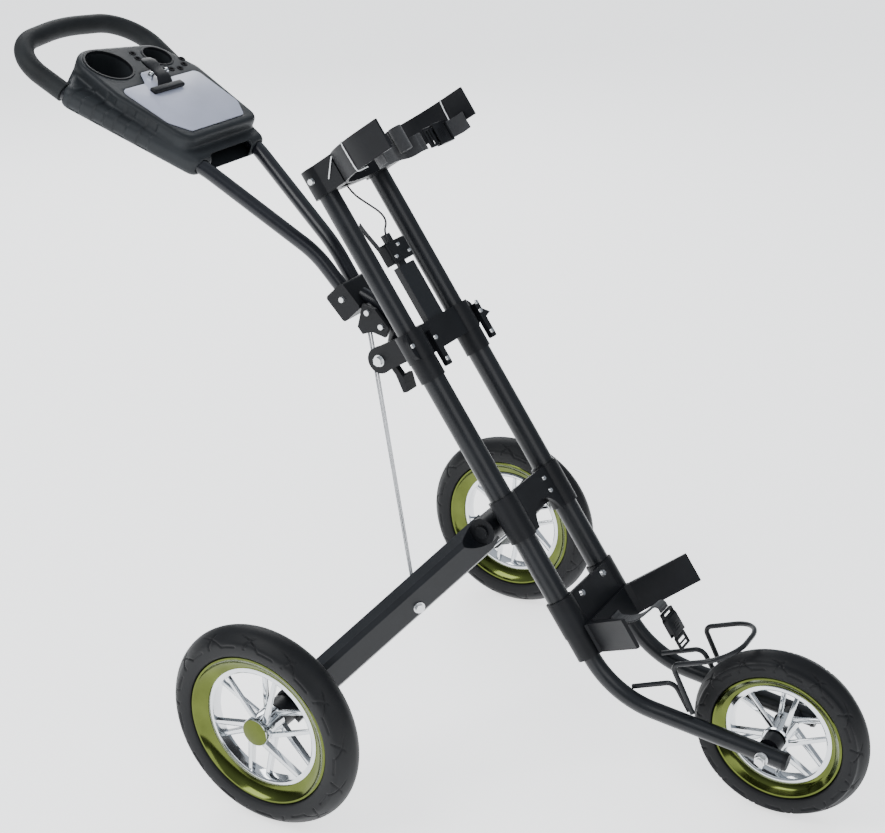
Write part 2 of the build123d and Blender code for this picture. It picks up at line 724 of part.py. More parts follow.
for label, place in buckle_places.items():
    with BuildPart() as tongue:
        with BuildSketch(place.offset(2 + clear)):
            with Locations((tongue_centre + 14, 0)):
                Rectangle(19, buckle_width - 12)
            with Locations((tongue_centre, 0)):
                RectangleRounded(19, buckle_width - 2, 4)
                Rectangle(4, buckle_width - 10, mode=Mode.SUBTRACT)
        extrude(amount=buckle_thick - 4 - 2 * clear)
    finish(tongue, label)

# webbing: flat bands drawn as (ahead, left) or (station, ahead) routes
upper_band_low, upper_band_width = 936, 22
right_route = ((134, -100.5), (112, -86), (106, -60), (101, -26), (101, 2), (117, 4), (121, 17))
left_route = ((123.5, 80.5), (126, 88), (141, 98.5))
lower_route = ((262, 26), (253, 30), (249, 60), (257, 95), (252, 101), (244.5, 101))
with BuildPart() as straps:
    for route in (right_route, left_route):
        with BuildSketch(across(upper_band_low)):
            with BuildLine():
                Polyline(*route)
            trace(line_width=webbing)
        extrude(amount=upper_band_width)
    with BuildSketch(across(upper_band_low)):
        with Locations((109, -12)):
            Circle(7)
            Circle(3, mode=Mode.SUBTRACT)
    extrude(amount=upper_band_width + 16)
    with BuildSketch(sideways(0, 0, -upper_band_width / 2)):
        with BuildLine():
            Polyline(*[(ahead, -station) for station, ahead in lower_route])
        trace(line_width=webbing)
    extrude(amount=upper_band_width)
    with BuildSketch(facing(868, 3)):
        with BuildLine():
            Polyline((-42, 24), (-34, 2), (-29, -18))
        trace(line_width=8)
    extrude(amount=webbing)
finish(straps, "straps")

# release cord: drops from the yoke's web in a lazy S to the hole in the catch
cord_radius = 1.4
with BuildPart() as release_cord:
    with BuildLine() as cord_path:
        FilletPolyline(
            along(947.5, 6, -24), along(934, 8, -24), along(914, 17, -19), along(895, 20, -6),
            along(881, 16, 0), along(870, 9, -9), along(851.5, 9, -9),
            radius=[14, 22, 22, 12, 7],
        )
    with BuildSketch(cord_path.line ^ 0):
        Circle(cord_radius)
    sweep()
finish(release_cord, "release_cord")

# ---- handle: curved link on the pivot, clamp block, rod yoke ---------------------------
pivot_point = along(handle_pivot[0], handle_pivot[1], 0)
link_radius = 10
link_hub_half = 12
with BuildPart() as handle_link:
    with BuildSketch(Plane(origin=(pivot_point.X, -link_hub_half, pivot_point.Z), z_dir=(0, 1, 0))):
        Circle(14)
    extrude(amount=2 * link_hub_half)
    with BuildLine() as link_path:
        FilletPolyline(
            pivot_point,
            (rear_axle_x + 6, 0, 593),
            (rear_axle_x - 24, 0, 624),
            (rear_axle_x - 50, 0, 634),
            radius=[22, 30],
        )
    with BuildSketch(link_path.line ^ 0):
        Circle(link_radius)
    sweep()
    with BuildSketch(Plane(origin=(pivot_point.X, -40, pivot_point.Z), z_dir=(0, 1, 0))):
        Circle(5 + running_fit)
    extrude(amount=80, mode=Mode.SUBTRACT)
finish(handle_link, "handle_link")

clamp_slope = radians(47)
clamp_plane = Plane(
    origin=(rear_axle_x - 60, 0, 630),
    x_dir=(cos(clamp_slope), 0, -sin(clamp_slope)),
    z_dir=(sin(clamp_slope), 0, cos(clamp_slope)),
)
tube_low_y, tube_bend_y, tray_front_y, tray_rear_y = 14, 22, 62, 117
tube_bend_x, tube_bend_z = rear_axle_x - 108, 690


def handle_run(sign, outer, inner):
    """One side tube of the handle, from the clamp block up to the grip."""
    with BuildPart() as tube:
        with BuildLine() as tube_path:
            FilletPolyline(
                clamp_plane.from_local_coords((-8, sign * tube_low_y, 0)),
                (tube_bend_x, sign * tube_bend_y, tube_bend_z),
                tray_point(0, sign * tray_front_y, 0),
                tray_point(tray_length, sign * tray_rear_y, 0),
                radius=[160, 200],
            )
        with BuildSketch(tube_path.line ^ 0):
            Circle(outer)
            if inner:
                Circle(inner, mode=Mode.SUBTRACT)
        sweep()
    return tube.part


handle_bores = []
for side, sign in SIDES:
    handle_tube = handle_run(sign, handle_tube_radius, handle_tube_radius - tube_wall)
    handle_tube.label = f"handle_tube_{side}"
    export_step(handle_tube, f"parts/handle_tube_{side}.step")
    handle_bores.append(handle_run(sign, handle_tube_radius + running_fit, 0))

with BuildPart() as handle_clamp:
    with BuildSketch(clamp_plane.offset(-24)):
        Rectangle(44, 54)
    extrude(amount=38)
    fillet(handle_clamp.edges().filter_by(Axis.Y), 5)
    add(handle_link.part, mode=Mode.SUBTRACT)
    for bore in handle_bores:
        add(bore, mode=Mode.SUBTRACT)
finish(handle_clamp, "handle_clamp")

# the yoke plate stands outside the rods and carries their pin
yoke_right, yoke_left = -24, -18
rod_top_x, rod_top_z = rear_axle_x - 35, 590
post_spots = ((rear_axle_x - 26, 617), (rear_axle_x - 4, 600))
rod_pin_radius = 2.5
with BuildPart() as rod_yoke:
    with BuildSketch(Plane(origin=(rear_axle_x, yoke_left, 0), x_dir=(1, 0, 0), z_dir=(0, -1, 0))):
        with BuildLine():
            Polyline((-34, 628), (-43, 594), (-35, 584), (-20, 590), (2, 585), (8, 600), (-14, 624), (-34, 628))
        make_face()
    extrude(amount=yoke_left - yoke_right)
    for post_x, post_z in post_spots:
        with BuildSketch(Plane(origin=(post_x, yoke_left, post_z), z_dir=(0, 1, 0))):
            Circle(5)
        extrude(amount=-yoke_left)
    with BuildSketch(Plane(origin=(rod_top_x, yoke_left, rod_top_z), z_dir=(0, 1, 0))):
        Circle(rod_pin_radius)
    extrude(amount=-yoke_left - 1)
    add(handle_link.part, mode=Mode.SUBTRACT)
    add(handle_clamp.part, mode=Mode.SUBTRACT)
finish(rod_yoke, "rod_yoke")

handle_bolt_planes = []
for post_x, post_z in post_spots:
    handle_bolt_planes.append(Plane(origin=(post_x, yoke_right, post_z), z_dir=(0, -1, 0)))
for side, sign in SIDES:
    bolt_spot = clamp_plane.from_local_coords((-4, sign * 27, -3))
    handle_bolt_planes.append(Plane(origin=bolt_spot, z_dir=(0, sign, 0)))
bolt_heads(handle_bolt_planes, 5, 3, "handle_bolts")

# ---- twin pull rods from the yoke down to the right arm ---------------------------------
rod_radius = 1.6
rod_spread = 3.2
rod_middle_y = -7.6
rod_end_x, rod_end_y, rod_end_z = rear_axle_x + 84, -105, 274
with BuildPart() as pull_rods:
    for sign in (-1, 1):
        rod_start = Vector(rod_top_x, rod_middle_y + sign * rod_spread, rod_top_z)
        rod_run = Vector(rod_end_x, rod_end_y + sign * rod_spread * 0.6, rod_end_z) - rod_start
        with BuildSketch(Plane(origin=rod_start, z_dir=rod_run)):
            Circle(rod_radius)
        extrude(amount=rod_run.length)
        with BuildSketch(Plane(origin=rod_start - Vector(0, 1.6, 0), z_dir=(0, 1, 0))):
            Circle(5)
        extrude(amount=3.2)
    with BuildSketch(Plane(origin=(rod_top_x, -60, rod_top_z), z_dir=(0, 1, 0))):
        Circle(rod_pin_radius + running_fit)
    extrude(amount=60, mode=Mode.SUBTRACT)
finish(pull_rods, "pull_rods")

# ---- grip loop: steel bow inside a foam sleeve ---------------------------------------------
loop_side, loop_tip, loop_half, loop_rise = 104, 123, 130, 9
with BuildPart() as loop_bow:
    with BuildLine() as loop_path:
        FilletPolyline(
            tray_point(tray_length, -tray_rear_y, 0),
            tray_point(tray_length + loop_side, -loop_half, loop_rise),
            tray_point(tray_length + loop_tip, 0, loop_rise + 1),
            tray_point(tray_length + loop_side, loop_half, loop_rise),
            tray_point(tray_length, tray_rear_y, 0),
            radius=[66, 240, 66],
        )
    with BuildSketch(loop_path.line ^ 0):
        Circle(handle_tube_radius)
    sweep()
    for bore in handle_bores:
        add(bore, mode=Mode.SUBTRACT)
finish(loop_bow, "grip_bow")
with BuildPart() as foam_room:
    with BuildSketch(loop_path.line ^ 0):
        Circle(foam_radius + clear)
    sweep(path=loop_path.line)
with BuildPart() as foam_grip:
    with BuildSketch(loop_path.line ^ 0):
        Circle(foam_radius)
        Circle(handle_tube_radius + 0.1, mode=Mode.SUBTRACT)
    sweep(path=loop_path.line)
finish(foam_grip, "foam_grip")

# ---- handle tray: two moulded shells with cup, ball and tee holders ---------------------------
deck_height, skirt_height, belly_depth, shell_wall = 35, 16, 16, 3.5
cup_spot, cup_bore, cup_depth = (209, -46.5), 34, 68
ball_spot, ball_bore, ball_depth = (202, 51), 21.5, 30
tee_bore, tee_depth = 3, 14
tee_spots = ((220, 16), (207, 13), (192, 18), (168, 44), (165, 60), (171, 76), (183, 85))
plate_outline = (
    (40, 58), (68, 78), (146, 81), (152, 75), (152, 16), (176, 14), (176, -16), (153, -31),
    (153, -76), (147, -82), (68, -78), (40, -58),
)


def spread(spots):
    """Tray positions as local coordinates of the tray planes."""
    return [(-rearward, left) for rearward, left in spots]


def skirt_outline(shrink):
    for rearward, left, radius in (
        (18, 66, 16), (18, -66, 16), (203, 113, 16), (203, -113, 16), (*cup_spot, 46), (*ball_spot, 34),
    ):
        with Locations((-rearward, left)):
            Circle(radius - shrink)
    make_hull()


def deck_outline(shrink):
    for rearward, left, radius in (
        (46, 64, 18), (46, -64, 18), (160, 84, 12), (150, -84, 12), (*cup_spot, 43), (*ball_spot, 31),
    ):
        with Locations((-rearward, left)):
            Circle(radius - shrink)
    make_hull()


with BuildPart() as tray_top:
    with BuildSketch(tray_plane(0)):
        skirt_outline(0)
    extrude(amount=skirt_height)
    fillet(tray_top.faces().sort_by(Axis((0, 0, 0), tray_plane(0).z_dir))[-1].edges(), 11)
    with BuildSketch(tray_plane(0)):
        deck_outline(-2)
    extrude(amount=deck_height)
    fillet(tray_top.faces().sort_by(Axis((0, 0, 0), tray_plane(0).z_dir))[-1].edges(), 6)
    with BuildSketch(tray_plane(0)):
        skirt_outline(shell_wall)
    extrude(amount=skirt_height - shell_wall - 5, mode=Mode.SUBTRACT)
    with BuildSketch(tray_plane(0)):
        deck_outline(6)
    extrude(amount=deck_height - shell_wall - 2, mode=Mode.SUBTRACT)
    for spot, bore, depth in ((cup_spot, cup_bore, cup_depth), (ball_spot, ball_bore, ball_depth)):
        with BuildSketch(tray_plane(max(0, deck_height - depth - 3))):
            with Locations(*spread([spot])):
                Circle(bore + 2.5)
        extrude(amount=min(depth + 1, deck_height - 2))
        with BuildSketch(tray_plane(deck_height - depth)):
            with Locations(*spread([spot])):
                Circle(bore)
        extrude(amount=depth + 20, mode=Mode.SUBTRACT)
    for spot in tee_spots:
        with BuildSketch(tray_plane(deck_height - tee_depth)):
            with Locations(*spread([spot])):
                Circle(tee_bore)
        extrude(amount=tee_depth + 20, mode=Mode.SUBTRACT)
    with BuildSketch(tray_plane(deck_height - 2)):
        with BuildLine():
            Polyline(*spread(plate_outline), close=True)
        make_face()
    extrude(amount=20, mode=Mode.SUBTRACT)
    with BuildSketch(tray_plane(-1)):
        with Locations((0, 0)):
            Rectangle(44, 92)
    extrude(amount=15, mode=Mode.SUBTRACT)
    for bore in (*handle_bores, foam_room.part):
        add(bore, mode=Mode.SUBTRACT)
tray_top.part = tray_top.part.solids().sort_by(SortBy.VOLUME)[-1]
finish(tray_top, "tray_top")

with BuildPart() as tray_bottom:
    with BuildSketch(tray_plane(-0.1)):
        skirt_outline(0)
    extrude(amount=-belly_depth)
    fillet(tray_bottom.faces().sort_by(Axis((0, 0, 0), tray_plane(0).z_dir))[0].edges(), 11)
    with BuildSketch(tray_plane(-0.1)):
        with Locations(*spread([cup_spot])):
            Circle(cup_bore + 3)
    extrude(amount=-(cup_depth - deck_height + 3))
    with BuildSketch(tray_plane(-0.1)):
        skirt_outline(shell_wall)
        with Locations(*spread([cup_spot])):
            Circle(cup_bore + 3, mode=Mode.SUBTRACT)
    extrude(amount=-(belly_depth - shell_wall - 0.5), mode=Mode.SUBTRACT)
    with BuildSketch(tray_plane(deck_height - cup_depth)):
        with Locations(*spread([cup_spot])):
            Circle(cup_bore)
    extrude(amount=cup_depth, mode=Mode.SUBTRACT)
    with BuildSketch(tray_plane(-belly_depth + 4)):
        with Locations((0, 0)):
            Rectangle(44, 92)
    extrude(amount=30, mode=Mode.SUBTRACT)
    for bore in (*handle_bores, foam_room.part):
        add(bore, mode=Mode.SUBTRACT)
finish(tray_bottom, "tray_bottom")

with BuildPart() as card_plate:
    with BuildSketch(tray_plane(deck_height - 1.9)):
        with BuildLine():
            Polyline(*spread(plate_outline), close=True)
        make_face()
        offset(amount=-0.3)
    extrude(amount=2.4)
finish(card_plate, "scorecard_plate")

# ---- scorecard clip on its sprung pin ------------------------------------------------------------
clip_pivot_back, clip_pivot_height = 160, 43
clip_left, clip_right = 15, -11
clip_axis = tray_point(clip_pivot_back, 0, clip_pivot_height)
with BuildPart() as clip_base:
    for left in (clip_left + 1, clip_right - 5):
        with BuildSketch(Plane(origin=clip_axis + Vector(0, left, 0), z_dir=(0, 1, 0))):
            Circle(4)
        extrude(amount=4)
        with BuildSketch(tray_plane(deck_height + 0.5)):
            with Locations((-clip_pivot_back, left + 2)):
                Rectangle(8, 4)
        extrude(amount=clip_pivot_height - deck_height)
    with BuildSketch(Plane(origin=clip_axis + Vector(0, clip_right - 6.5, 0), z_dir=(0, 1, 0))):
        Circle(2)
    extrude(amount=clip_left - clip_right + 13)
finish(clip_base, "clip_base")

with BuildPart() as card_clip:
    with BuildSketch(Plane(origin=clip_axis + Vector(0, clip_right + clear, 0), z_dir=(0, 1, 0))):
        Circle(5)
    extrude(amount=clip_left - clip_right - 2 * clear)
    with BuildSketch(tray_plane(clip_pivot_height)):
        with Locations((-(clip_pivot_back + 16), 5)):
            Circle(13)
        with Locations((-(clip_pivot_back - 6), 2)):
            Rectangle(44, 16)
    extrude(amount=4.5)
    with BuildSketch(tray_plane(deck_height + 1)):
        with Locations((-131, -9)):
            RectangleRounded(12, 66, 5)
    extrude(amount=8)
    with BuildSketch(Plane(origin=clip_axis + Vector(0, -60, 0), z_dir=(0, 1, 0))):
        Circle(2 + running_fit)
    extrude(amount=120, mode=Mode.SUBTRACT)
finish(card_clip, "scorecard_clip")
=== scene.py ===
import json
from math import cos, pi, radians, sin

import bmesh
import bpy
from mathutils import Matrix, Vector


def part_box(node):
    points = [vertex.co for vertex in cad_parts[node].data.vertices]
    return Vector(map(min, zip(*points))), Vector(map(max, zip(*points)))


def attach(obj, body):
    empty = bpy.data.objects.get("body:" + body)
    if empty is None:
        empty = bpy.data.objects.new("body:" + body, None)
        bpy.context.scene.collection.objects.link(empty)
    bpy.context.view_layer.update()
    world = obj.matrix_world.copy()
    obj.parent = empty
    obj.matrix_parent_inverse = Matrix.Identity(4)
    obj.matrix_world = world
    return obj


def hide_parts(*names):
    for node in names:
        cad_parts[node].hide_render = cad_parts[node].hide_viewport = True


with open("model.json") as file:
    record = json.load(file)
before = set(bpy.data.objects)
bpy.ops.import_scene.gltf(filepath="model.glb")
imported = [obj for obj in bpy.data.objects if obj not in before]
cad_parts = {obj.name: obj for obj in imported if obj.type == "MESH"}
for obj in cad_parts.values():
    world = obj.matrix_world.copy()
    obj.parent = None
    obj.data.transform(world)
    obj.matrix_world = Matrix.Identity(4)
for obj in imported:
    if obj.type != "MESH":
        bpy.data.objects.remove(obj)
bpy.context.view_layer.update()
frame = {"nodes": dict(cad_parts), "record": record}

print("frame loaded:", len(frame["nodes"]), "nodes")

# the frame's own directions, the same as the CAD's, in metres
layout = {
    "rearAxleX": -0.06916, "footX": 0.470, "slope": radians(56.4),
    "trayX": -0.260, "trayZ": 0.802, "traySlope": radians(27),
}


def alongFrame(station, ahead, left):
    # millimetres up the tubes, ahead of them and to the left
    run, rise = cos(layout["slope"]), sin(layout["slope"])
    x = layout["rearAxleX"] + layout["footX"] + (-station * run + ahead * rise) / 1000
    z = (station * rise + ahead * run) / 1000
    return Vector((x, left / 1000, z))


def onTray(rearward, left, height):
    # millimetres up the tray, to the left and above it
    run, rise = cos(layout["traySlope"]), sin(layout["traySlope"])
    x = layout["rearAxleX"] + layout["trayX"] + (-rearward * run + height * rise) / 1000
    z = layout["trayZ"] + (rearward * rise + height * run) / 1000
    return Vector((x, left / 1000, z))


# camera
view = {
    "place": (1.163 - 0.06916, -1.7969, 1.3585), "azimuth": 31.159, "elevation": 22.855, "roll": -1.321,
    "lens": 66.69, "sensor": 36,
}


def setCamera():
    az, el, roll = radians(view["azimuth"]), radians(view["elevation"]), radians(view["roll"])
    back = Vector((sin(az) * cos(el), -cos(az) * cos(el), sin(el)))
    right = Vector((cos(az), sin(az), 0))
    up = back.cross(right)
    side = cos(roll) * right + sin(roll) * up
    top = -sin(roll) * right + cos(roll) * up
    data = bpy.data.cameras.new("camera")
    data.lens = view["lens"]
    data.sensor_width = view["sensor"]
    camera = bpy.data.objects.new("camera", data)
    turned = Matrix((side, top, back)).transposed().to_4x4()
    camera.matrix_world = Matrix.Translation(view["place"]) @ turned
    bpy.context.scene.collection.objects.link(camera)
    bpy.context.scene.camera = camera


setCamera()
print("camera set")

# floor and studio light
studio = {
    "floorColour": (0.93, 0.93, 0.93, 1), "floorHalf": 9, "floorDrop": 0.0006, "floorRough": 0.75,
    "worldTop": (0.84, 0.91, 1.0, 1), "worldLow": (0.20, 0.22, 0.24, 1),
    "worldRamp": (0.54, 0.80),
    "worldStrength": 0.75, "floorGlow": 1.6, "aim": (0, 0, 0.4),
    "lamps": (
        ("keyLight", (-1.6, -2.4, 3.4), 2.2, 95),
        ("fillLight", (3.0, -2.2, 2.4), 2.6, 48),
        ("rimLight", (-2.4, 2.6, 2.6), 2.0, 60),
    ),
}


def nodeMaterial(name):
    made = bpy.data.materials.new(name)
    made.use_nodes = True
    return made, made.node_tree.nodes, made.node_tree.links, made.node_tree.nodes["Principled BSDF"]


def setStudio():
    mesh = bpy.data.meshes.new("floor")
    bm = bmesh.new()
    bmesh.ops.create_grid(bm, x_segments=1, y_segments=1, size=studio["floorHalf"])
    bmesh.ops.translate(bm, verts=bm.verts, vec=(0, 0, -studio["floorDrop"]))
    bm.to_mesh(mesh)
    bm.free()
    floor = bpy.data.objects.new("floor", mesh)
    bpy.context.scene.collection.objects.link(floor)
    made, nodes, links, shader = nodeMaterial("floorPaper")
    shader.inputs["Base Color"].default_value = studio["floorColour"]
    shader.inputs["Roughness"].default_value = studio["floorRough"]
    shader.inputs["Emission Color"].default_value = studio["floorColour"]
    shader.inputs["Emission Strength"].default_value = studio["floorGlow"]
    mesh.materials.append(made)

    world = bpy.data.worlds.new("studioAir")
    bpy.context.scene.world = world
    world.use_nodes = True
    nodes, links = world.node_tree.nodes, world.node_tree.links
    place = nodes.new("ShaderNodeTexCoord")
    split = nodes.new("ShaderNodeSeparateXYZ")
    ramp = nodes.new("ShaderNodeValToRGB")
    ramp.color_ramp.elements[0].position = studio["worldRamp"][0]
    ramp.color_ramp.elements[0].color = studio["worldLow"]
    ramp.color_ramp.elements[1].position = studio["worldRamp"][1]
    ramp.color_ramp.elements[1].color = studio["worldTop"]
    scale = nodes.new("ShaderNodeMath")
    scale.operation = "MULTIPLY_ADD"
    scale.inputs[1].default_value = 0.5
    scale.inputs[2].default_value = 0.5
    links.new(place.outputs["Generated"], split.inputs[0])
    links.new(split.outputs["Z"], scale.inputs[0])
    links.new(scale.outputs[0], ramp.inputs[0])
    links.new(ramp.outputs[0], nodes["Background"].inputs["Color"])
    nodes["Background"].inputs["Strength"].default_value = studio["worldStrength"]

    for name, place, size, power in studio["lamps"]:
        data = bpy.data.lights.new(name, "AREA")
        data.shape = "SQUARE"
        data.size = size
        data.energy = power
        lamp = bpy.data.objects.new(name, data)
        aim = (Vector(studio["aim"]) - Vector(place)).to_track_quat("-Z", "Y")
        lamp.matrix_world = Matrix.Translation(place) @ aim.to_matrix().to_4x4()
        bpy.context.scene.collection.objects.link(lamp)


setStudio()
print("studio set")

# finishes: colour, roughness, metal, grain size and depth, mottling, clear coat and sheen of each slot
skin = {
    "mottleScale": 26, "mottleDetail": 5, "grainDetail": 2, "grainHeight": 0.0004, "coatRough": 0.25,
    "sheen": 0.2, "metalSheen": 0.5,
}
finishes = {
    "framePaint": {"colour": (0.0065, 0.0075, 0.0095), "rough": 0.36, "metal": 0.0,
                   "grain": 900, "depth": 0.04, "mottle": 0.35, "coat": 0.25},
    "handlePaint": {"colour": (0.009, 0.010, 0.0135), "rough": 0.33, "metal": 0.0,
                    "grain": 900, "depth": 0.04, "mottle": 0.35, "coat": 0.3},
    "moulding": {"colour": (0.0055, 0.006, 0.0075), "rough": 0.42, "metal": 0.0,
                 "grain": 1400, "depth": 0.12, "mottle": 0.4, "coat": 0.0},
    "console": {"colour": (0.017, 0.0195, 0.022), "rough": 0.47, "metal": 0.0,
                "grain": 1800, "depth": 0.16, "mottle": 0.35, "coat": 0.0},
    "foam": {"colour": (0.014, 0.0155, 0.0165), "rough": 0.62, "metal": 0.0,
             "grain": 1500, "depth": 0.30, "mottle": 0.4, "coat": 0.0},
    # finger bands: lighter brownish colour, partly their own tone and partly a painted highlight for their
    # glossy reflection
    "bandToneAndPaintedHighlight": {"colour": (0.085, 0.080, 0.068), "rough": 0.24, "metal": 0.0,
                    "grain": 1800, "depth": 0.06, "mottle": 0.3, "coat": 0.0,
                    "sheen": 0.5},
    "platePlastic": {"colour": (0.47, 0.49, 0.60), "rough": 0.34, "metal": 0.0,
                     "grain": 1600, "depth": 0.03, "mottle": 0.10, "coat": 0.2},
    "plateEdge": {"colour": (0.80, 0.81, 0.86), "rough": 0.4, "metal": 0.0,
                  "grain": 1600, "depth": 0.03, "mottle": 0.08, "coat": 0.0},
    "tyreRubber": {"colour": (0.0065, 0.007, 0.008), "rough": 0.50, "metal": 0.0,
                   "grain": 700, "depth": 0.16, "mottle": 0.4, "coat": 0.0},
    "wheelChrome": {"colour": (0.66, 0.68, 0.70), "rough": 0.10, "metal": 1.0,
                    "grain": 300, "depth": 0.01, "mottle": 0.10, "coat": 0.0},
    # olive colour and mottle of the rim band: a painted reflection of green surroundings in the chrome
    "rimPaintedReflection": {"colour": (0.088, 0.108, 0.027), "rough": 0.12, "metal": 1.0,
                  "grain": 170, "depth": 0.02, "mottle": 0.35, "coat": 0.0},
    "zincSteel": {"colour": (0.62, 0.63, 0.64), "rough": 0.26, "metal": 1.0,
                  "grain": 900, "depth": 0.04, "mottle": 0.2, "coat": 0.0},
    "whitePlastic": {"colour": (0.78, 0.79, 0.80), "rough": 0.42, "metal": 0.0,
                     "grain": 900, "depth": 0.03, "mottle": 0.06, "coat": 0.0},
    "darkHollow": {"colour": (0.006, 0.006, 0.007), "rough": 0.7, "metal": 0.0,
                   "grain": 900, "depth": 0.05, "mottle": 0.2, "coat": 0.0},
}


def makeFinish(name):
    facts = finishes[name]
    made, nodes, links, shader = nodeMaterial(name)
    place = nodes.new("ShaderNodeTexCoord")
    mottle = nodes.new("ShaderNodeTexNoise")
    mottle.inputs["Scale"].default_value = skin["mottleScale"]
    mottle.inputs["Detail"].default_value = skin["mottleDetail"]
    links.new(place.outputs["Object"], mottle.inputs["Vector"])
    ramp = nodes.new("ShaderNodeValToRGB")
    low, high = 1 - 0.5 * facts["mottle"], 1 + 0.5 * facts["mottle"]
    ramp.color_ramp.elements[0].position = 0.3
    ramp.color_ramp.elements[0].color = (*[low * c for c in facts["colour"]], 1)
    ramp.color_ramp.elements[1].position = 0.7
    ramp.color_ramp.elements[1].color = (*[min(1, high * c) for c in facts["colour"]], 1)
    links.new(mottle.outputs["Fac"], ramp.inputs[0])
    links.new(ramp.outputs[0], shader.inputs["Base Color"])
    spread = nodes.new("ShaderNodeMapRange")
    spread.inputs["To Min"].default_value = facts["rough"] - 0.06
    spread.inputs["To Max"].default_value = facts["rough"] + 0.08
    links.new(mottle.outputs["Fac"], spread.inputs["Value"])
    links.new(spread.outputs["Result"], shader.inputs["Roughness"])
    grain = nodes.new("ShaderNodeTexNoise")
    grain.inputs["Scale"].default_value = facts["grain"]
    grain.inputs["Detail"].default_value = skin["grainDetail"]
    links.new(place.outputs["Object"], grain.inputs["Vector"])
    bump = nodes.new("ShaderNodeBump")
    bump.inputs["Strength"].default_value = facts["depth"]
    bump.inputs["Distance"].default_value = skin["grainHeight"]
    links.new(grain.outputs["Fac"], bump.inputs["Height"])
    links.new(bump.outputs["Normal"], shader.inputs["Normal"])
    shader.inputs["Metallic"].default_value = facts["metal"]
    sheen = skin["metalSheen"] if facts["metal"] else facts.get("sheen", skin["sheen"])
    shader.inputs["Specular IOR Level"].default_value = sheen
    shader.inputs["Coat Weight"].default_value = facts["coat"]
    shader.inputs["Coat Roughness"].default_value = skin["coatRough"]
    return made


materials = {name: makeFinish(name) for name in finishes}


def weaveFinish(name, colour, threads):
    made, nodes, links, shader = nodeMaterial(name)
    place = nodes.new("ShaderNodeTexCoord")
    heights = []
    for direction in ("X", "Z"):
        band = nodes.new("ShaderNodeTexWave")
        band.bands_direction = direction
        band.inputs["Scale"].default_value = threads
        band.inputs["Distortion"].default_value = 0.4
        links.new(place.outputs["Object"], band.inputs["Vector"])
        heights.append(band.outputs["Fac"])
    weave = nodes.new("ShaderNodeMath")
    weave.operation = "MULTIPLY"
    links.new(heights[0], weave.inputs[0])
    links.new(heights[1], weave.inputs[1])
    ramp = nodes.new("ShaderNodeValToRGB")
    ramp.color_ramp.elements[0].color = (*[0.5 * c for c in colour], 1)
    ramp.color_ramp.elements[1].color = (*[1.7 * c for c in colour], 1)
    links.new(weave.outputs[0], ramp.inputs[0])
    links.new(ramp.outputs[0], shader.inputs["Base Color"])
    bump = nodes.new("ShaderNodeBump")
    bump.inputs["Strength"].default_value = 0.5
    bump.inputs["Distance"].default_value = 0.0005
    links.new(weave.outputs[0], bump.inputs["Height"])
    links.new(bump.outputs["Normal"], shader.inputs["Normal"])
    shader.inputs["Roughness"].default_value = 0.75
    shader.inputs["Sheen Weight"].default_value = 0.25
    return made


materials["webbing"] = weaveFinish("webbing", (0.014, 0.015, 0.018), 260)
materials["cord"] = weaveFinish("cord", (0.012, 0.012, 0.014), 420)

slotFinish = {
    "frame_paint": "framePaint", "handle_paint": "handlePaint", "moulding": "moulding", "console": "console",
    "plate": "platePlastic", "tyre": "tyreRubber", "wheel": "wheelChrome", "hardware": "zincSteel",
    "chrome": "wheelChrome", "foam": "foam", "webbing": "webbing", "cord": "cord",
}
for part in frame["record"]["subparts"]:
    node = frame["nodes"][part["node"]]
    node.data.materials.clear()
    node.data.materials.append(materials[slotFinish[part["material_slot"]]])
print("finishes made")


# helpers for new pieces
def pieceFrom(bm, name, finish, body, replaced=(), smooth=40):
    mesh = bpy.data.meshes.new(name)
    bm.to_mesh(mesh)
    bm.free()
    piece = bpy.data.objects.new(name, mesh)
    bpy.context.scene.collection.objects.link(piece)
    mesh.materials.append(materials[finish])
    if smooth:
        mesh.shade_smooth()
        mesh.set_sharp_from_angle(angle=radians(smooth))
    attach(piece, body)
    if replaced:
        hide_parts(*replaced)
    return piece


# wheels: tyre with carved sides, chrome ring with a painted olive reflection on its outer band, hub and laced
# spokes
wheels = {
    "front": {"body": "front_wheel", "tyre": "tyre_front", "wheel": ("wheel_front",), "cap": 0,
              "radius": 120.5, "rim": 89, "half": 22, "hub": 18, "hubHalf": 22, "bore": 8},
    "left": {"body": "rear_wheel_left", "tyre": "tyre_rear_left", "wheel": ("wheel_rear_left", "hub_cap_left"),
             "cap": 1, "radius": 145, "rim": 108, "half": 23, "hub": 20, "hubHalf": 19, "bore": 9},
    "right": {"body": "rear_wheel_right", "tyre": "tyre_rear_right",
              "wheel": ("wheel_rear_right", "hub_cap_right"), "cap": -1,
              "radius": 145, "rim": 108, "half": 23, "hub": 20, "hubHalf": 19, "bore": 9},
}
tread = {"turns": 480, "arcs": 13, "grooveDepth": 1.3, "grooveWidth": 1.9, "bandFrom": 0.42, "bandTall": 0.5}
spokes = {"pairs": 6, "first": 20, "apart": 0.46, "spread": 1.25, "thick": 0.0056, "broad": 0.0066,
          "ringSteps": 160, "hubSteps": 72, "chromeLip": 7.5, "bevel": 0.0011}


def wheelCentre(facts):
    low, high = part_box(facts["tyre"])
    return (low + high) / 2


def spinProfile(points, centre, steps):
    # points are (radius, width) in millimetres, turned about the axle
    bm = bmesh.new()
    verts = [bm.verts.new((centre[0] + radius / 1000, centre[1] + width / 1000, centre[2]))
             for radius, width in points]
    edges = [bm.edges.new(pair) for pair in zip(verts, verts[1:] + verts[:1])]
    bmesh.ops.spin(bm, geom=verts + edges, cent=centre, axis=(0, 1, 0), angle=2 * pi, steps=steps,
                   use_merge=True)
    bmesh.ops.remove_doubles(bm, verts=bm.verts, dist=0.00001)
    bmesh.ops.recalc_face_normals(bm, faces=bm.faces)
    return bm


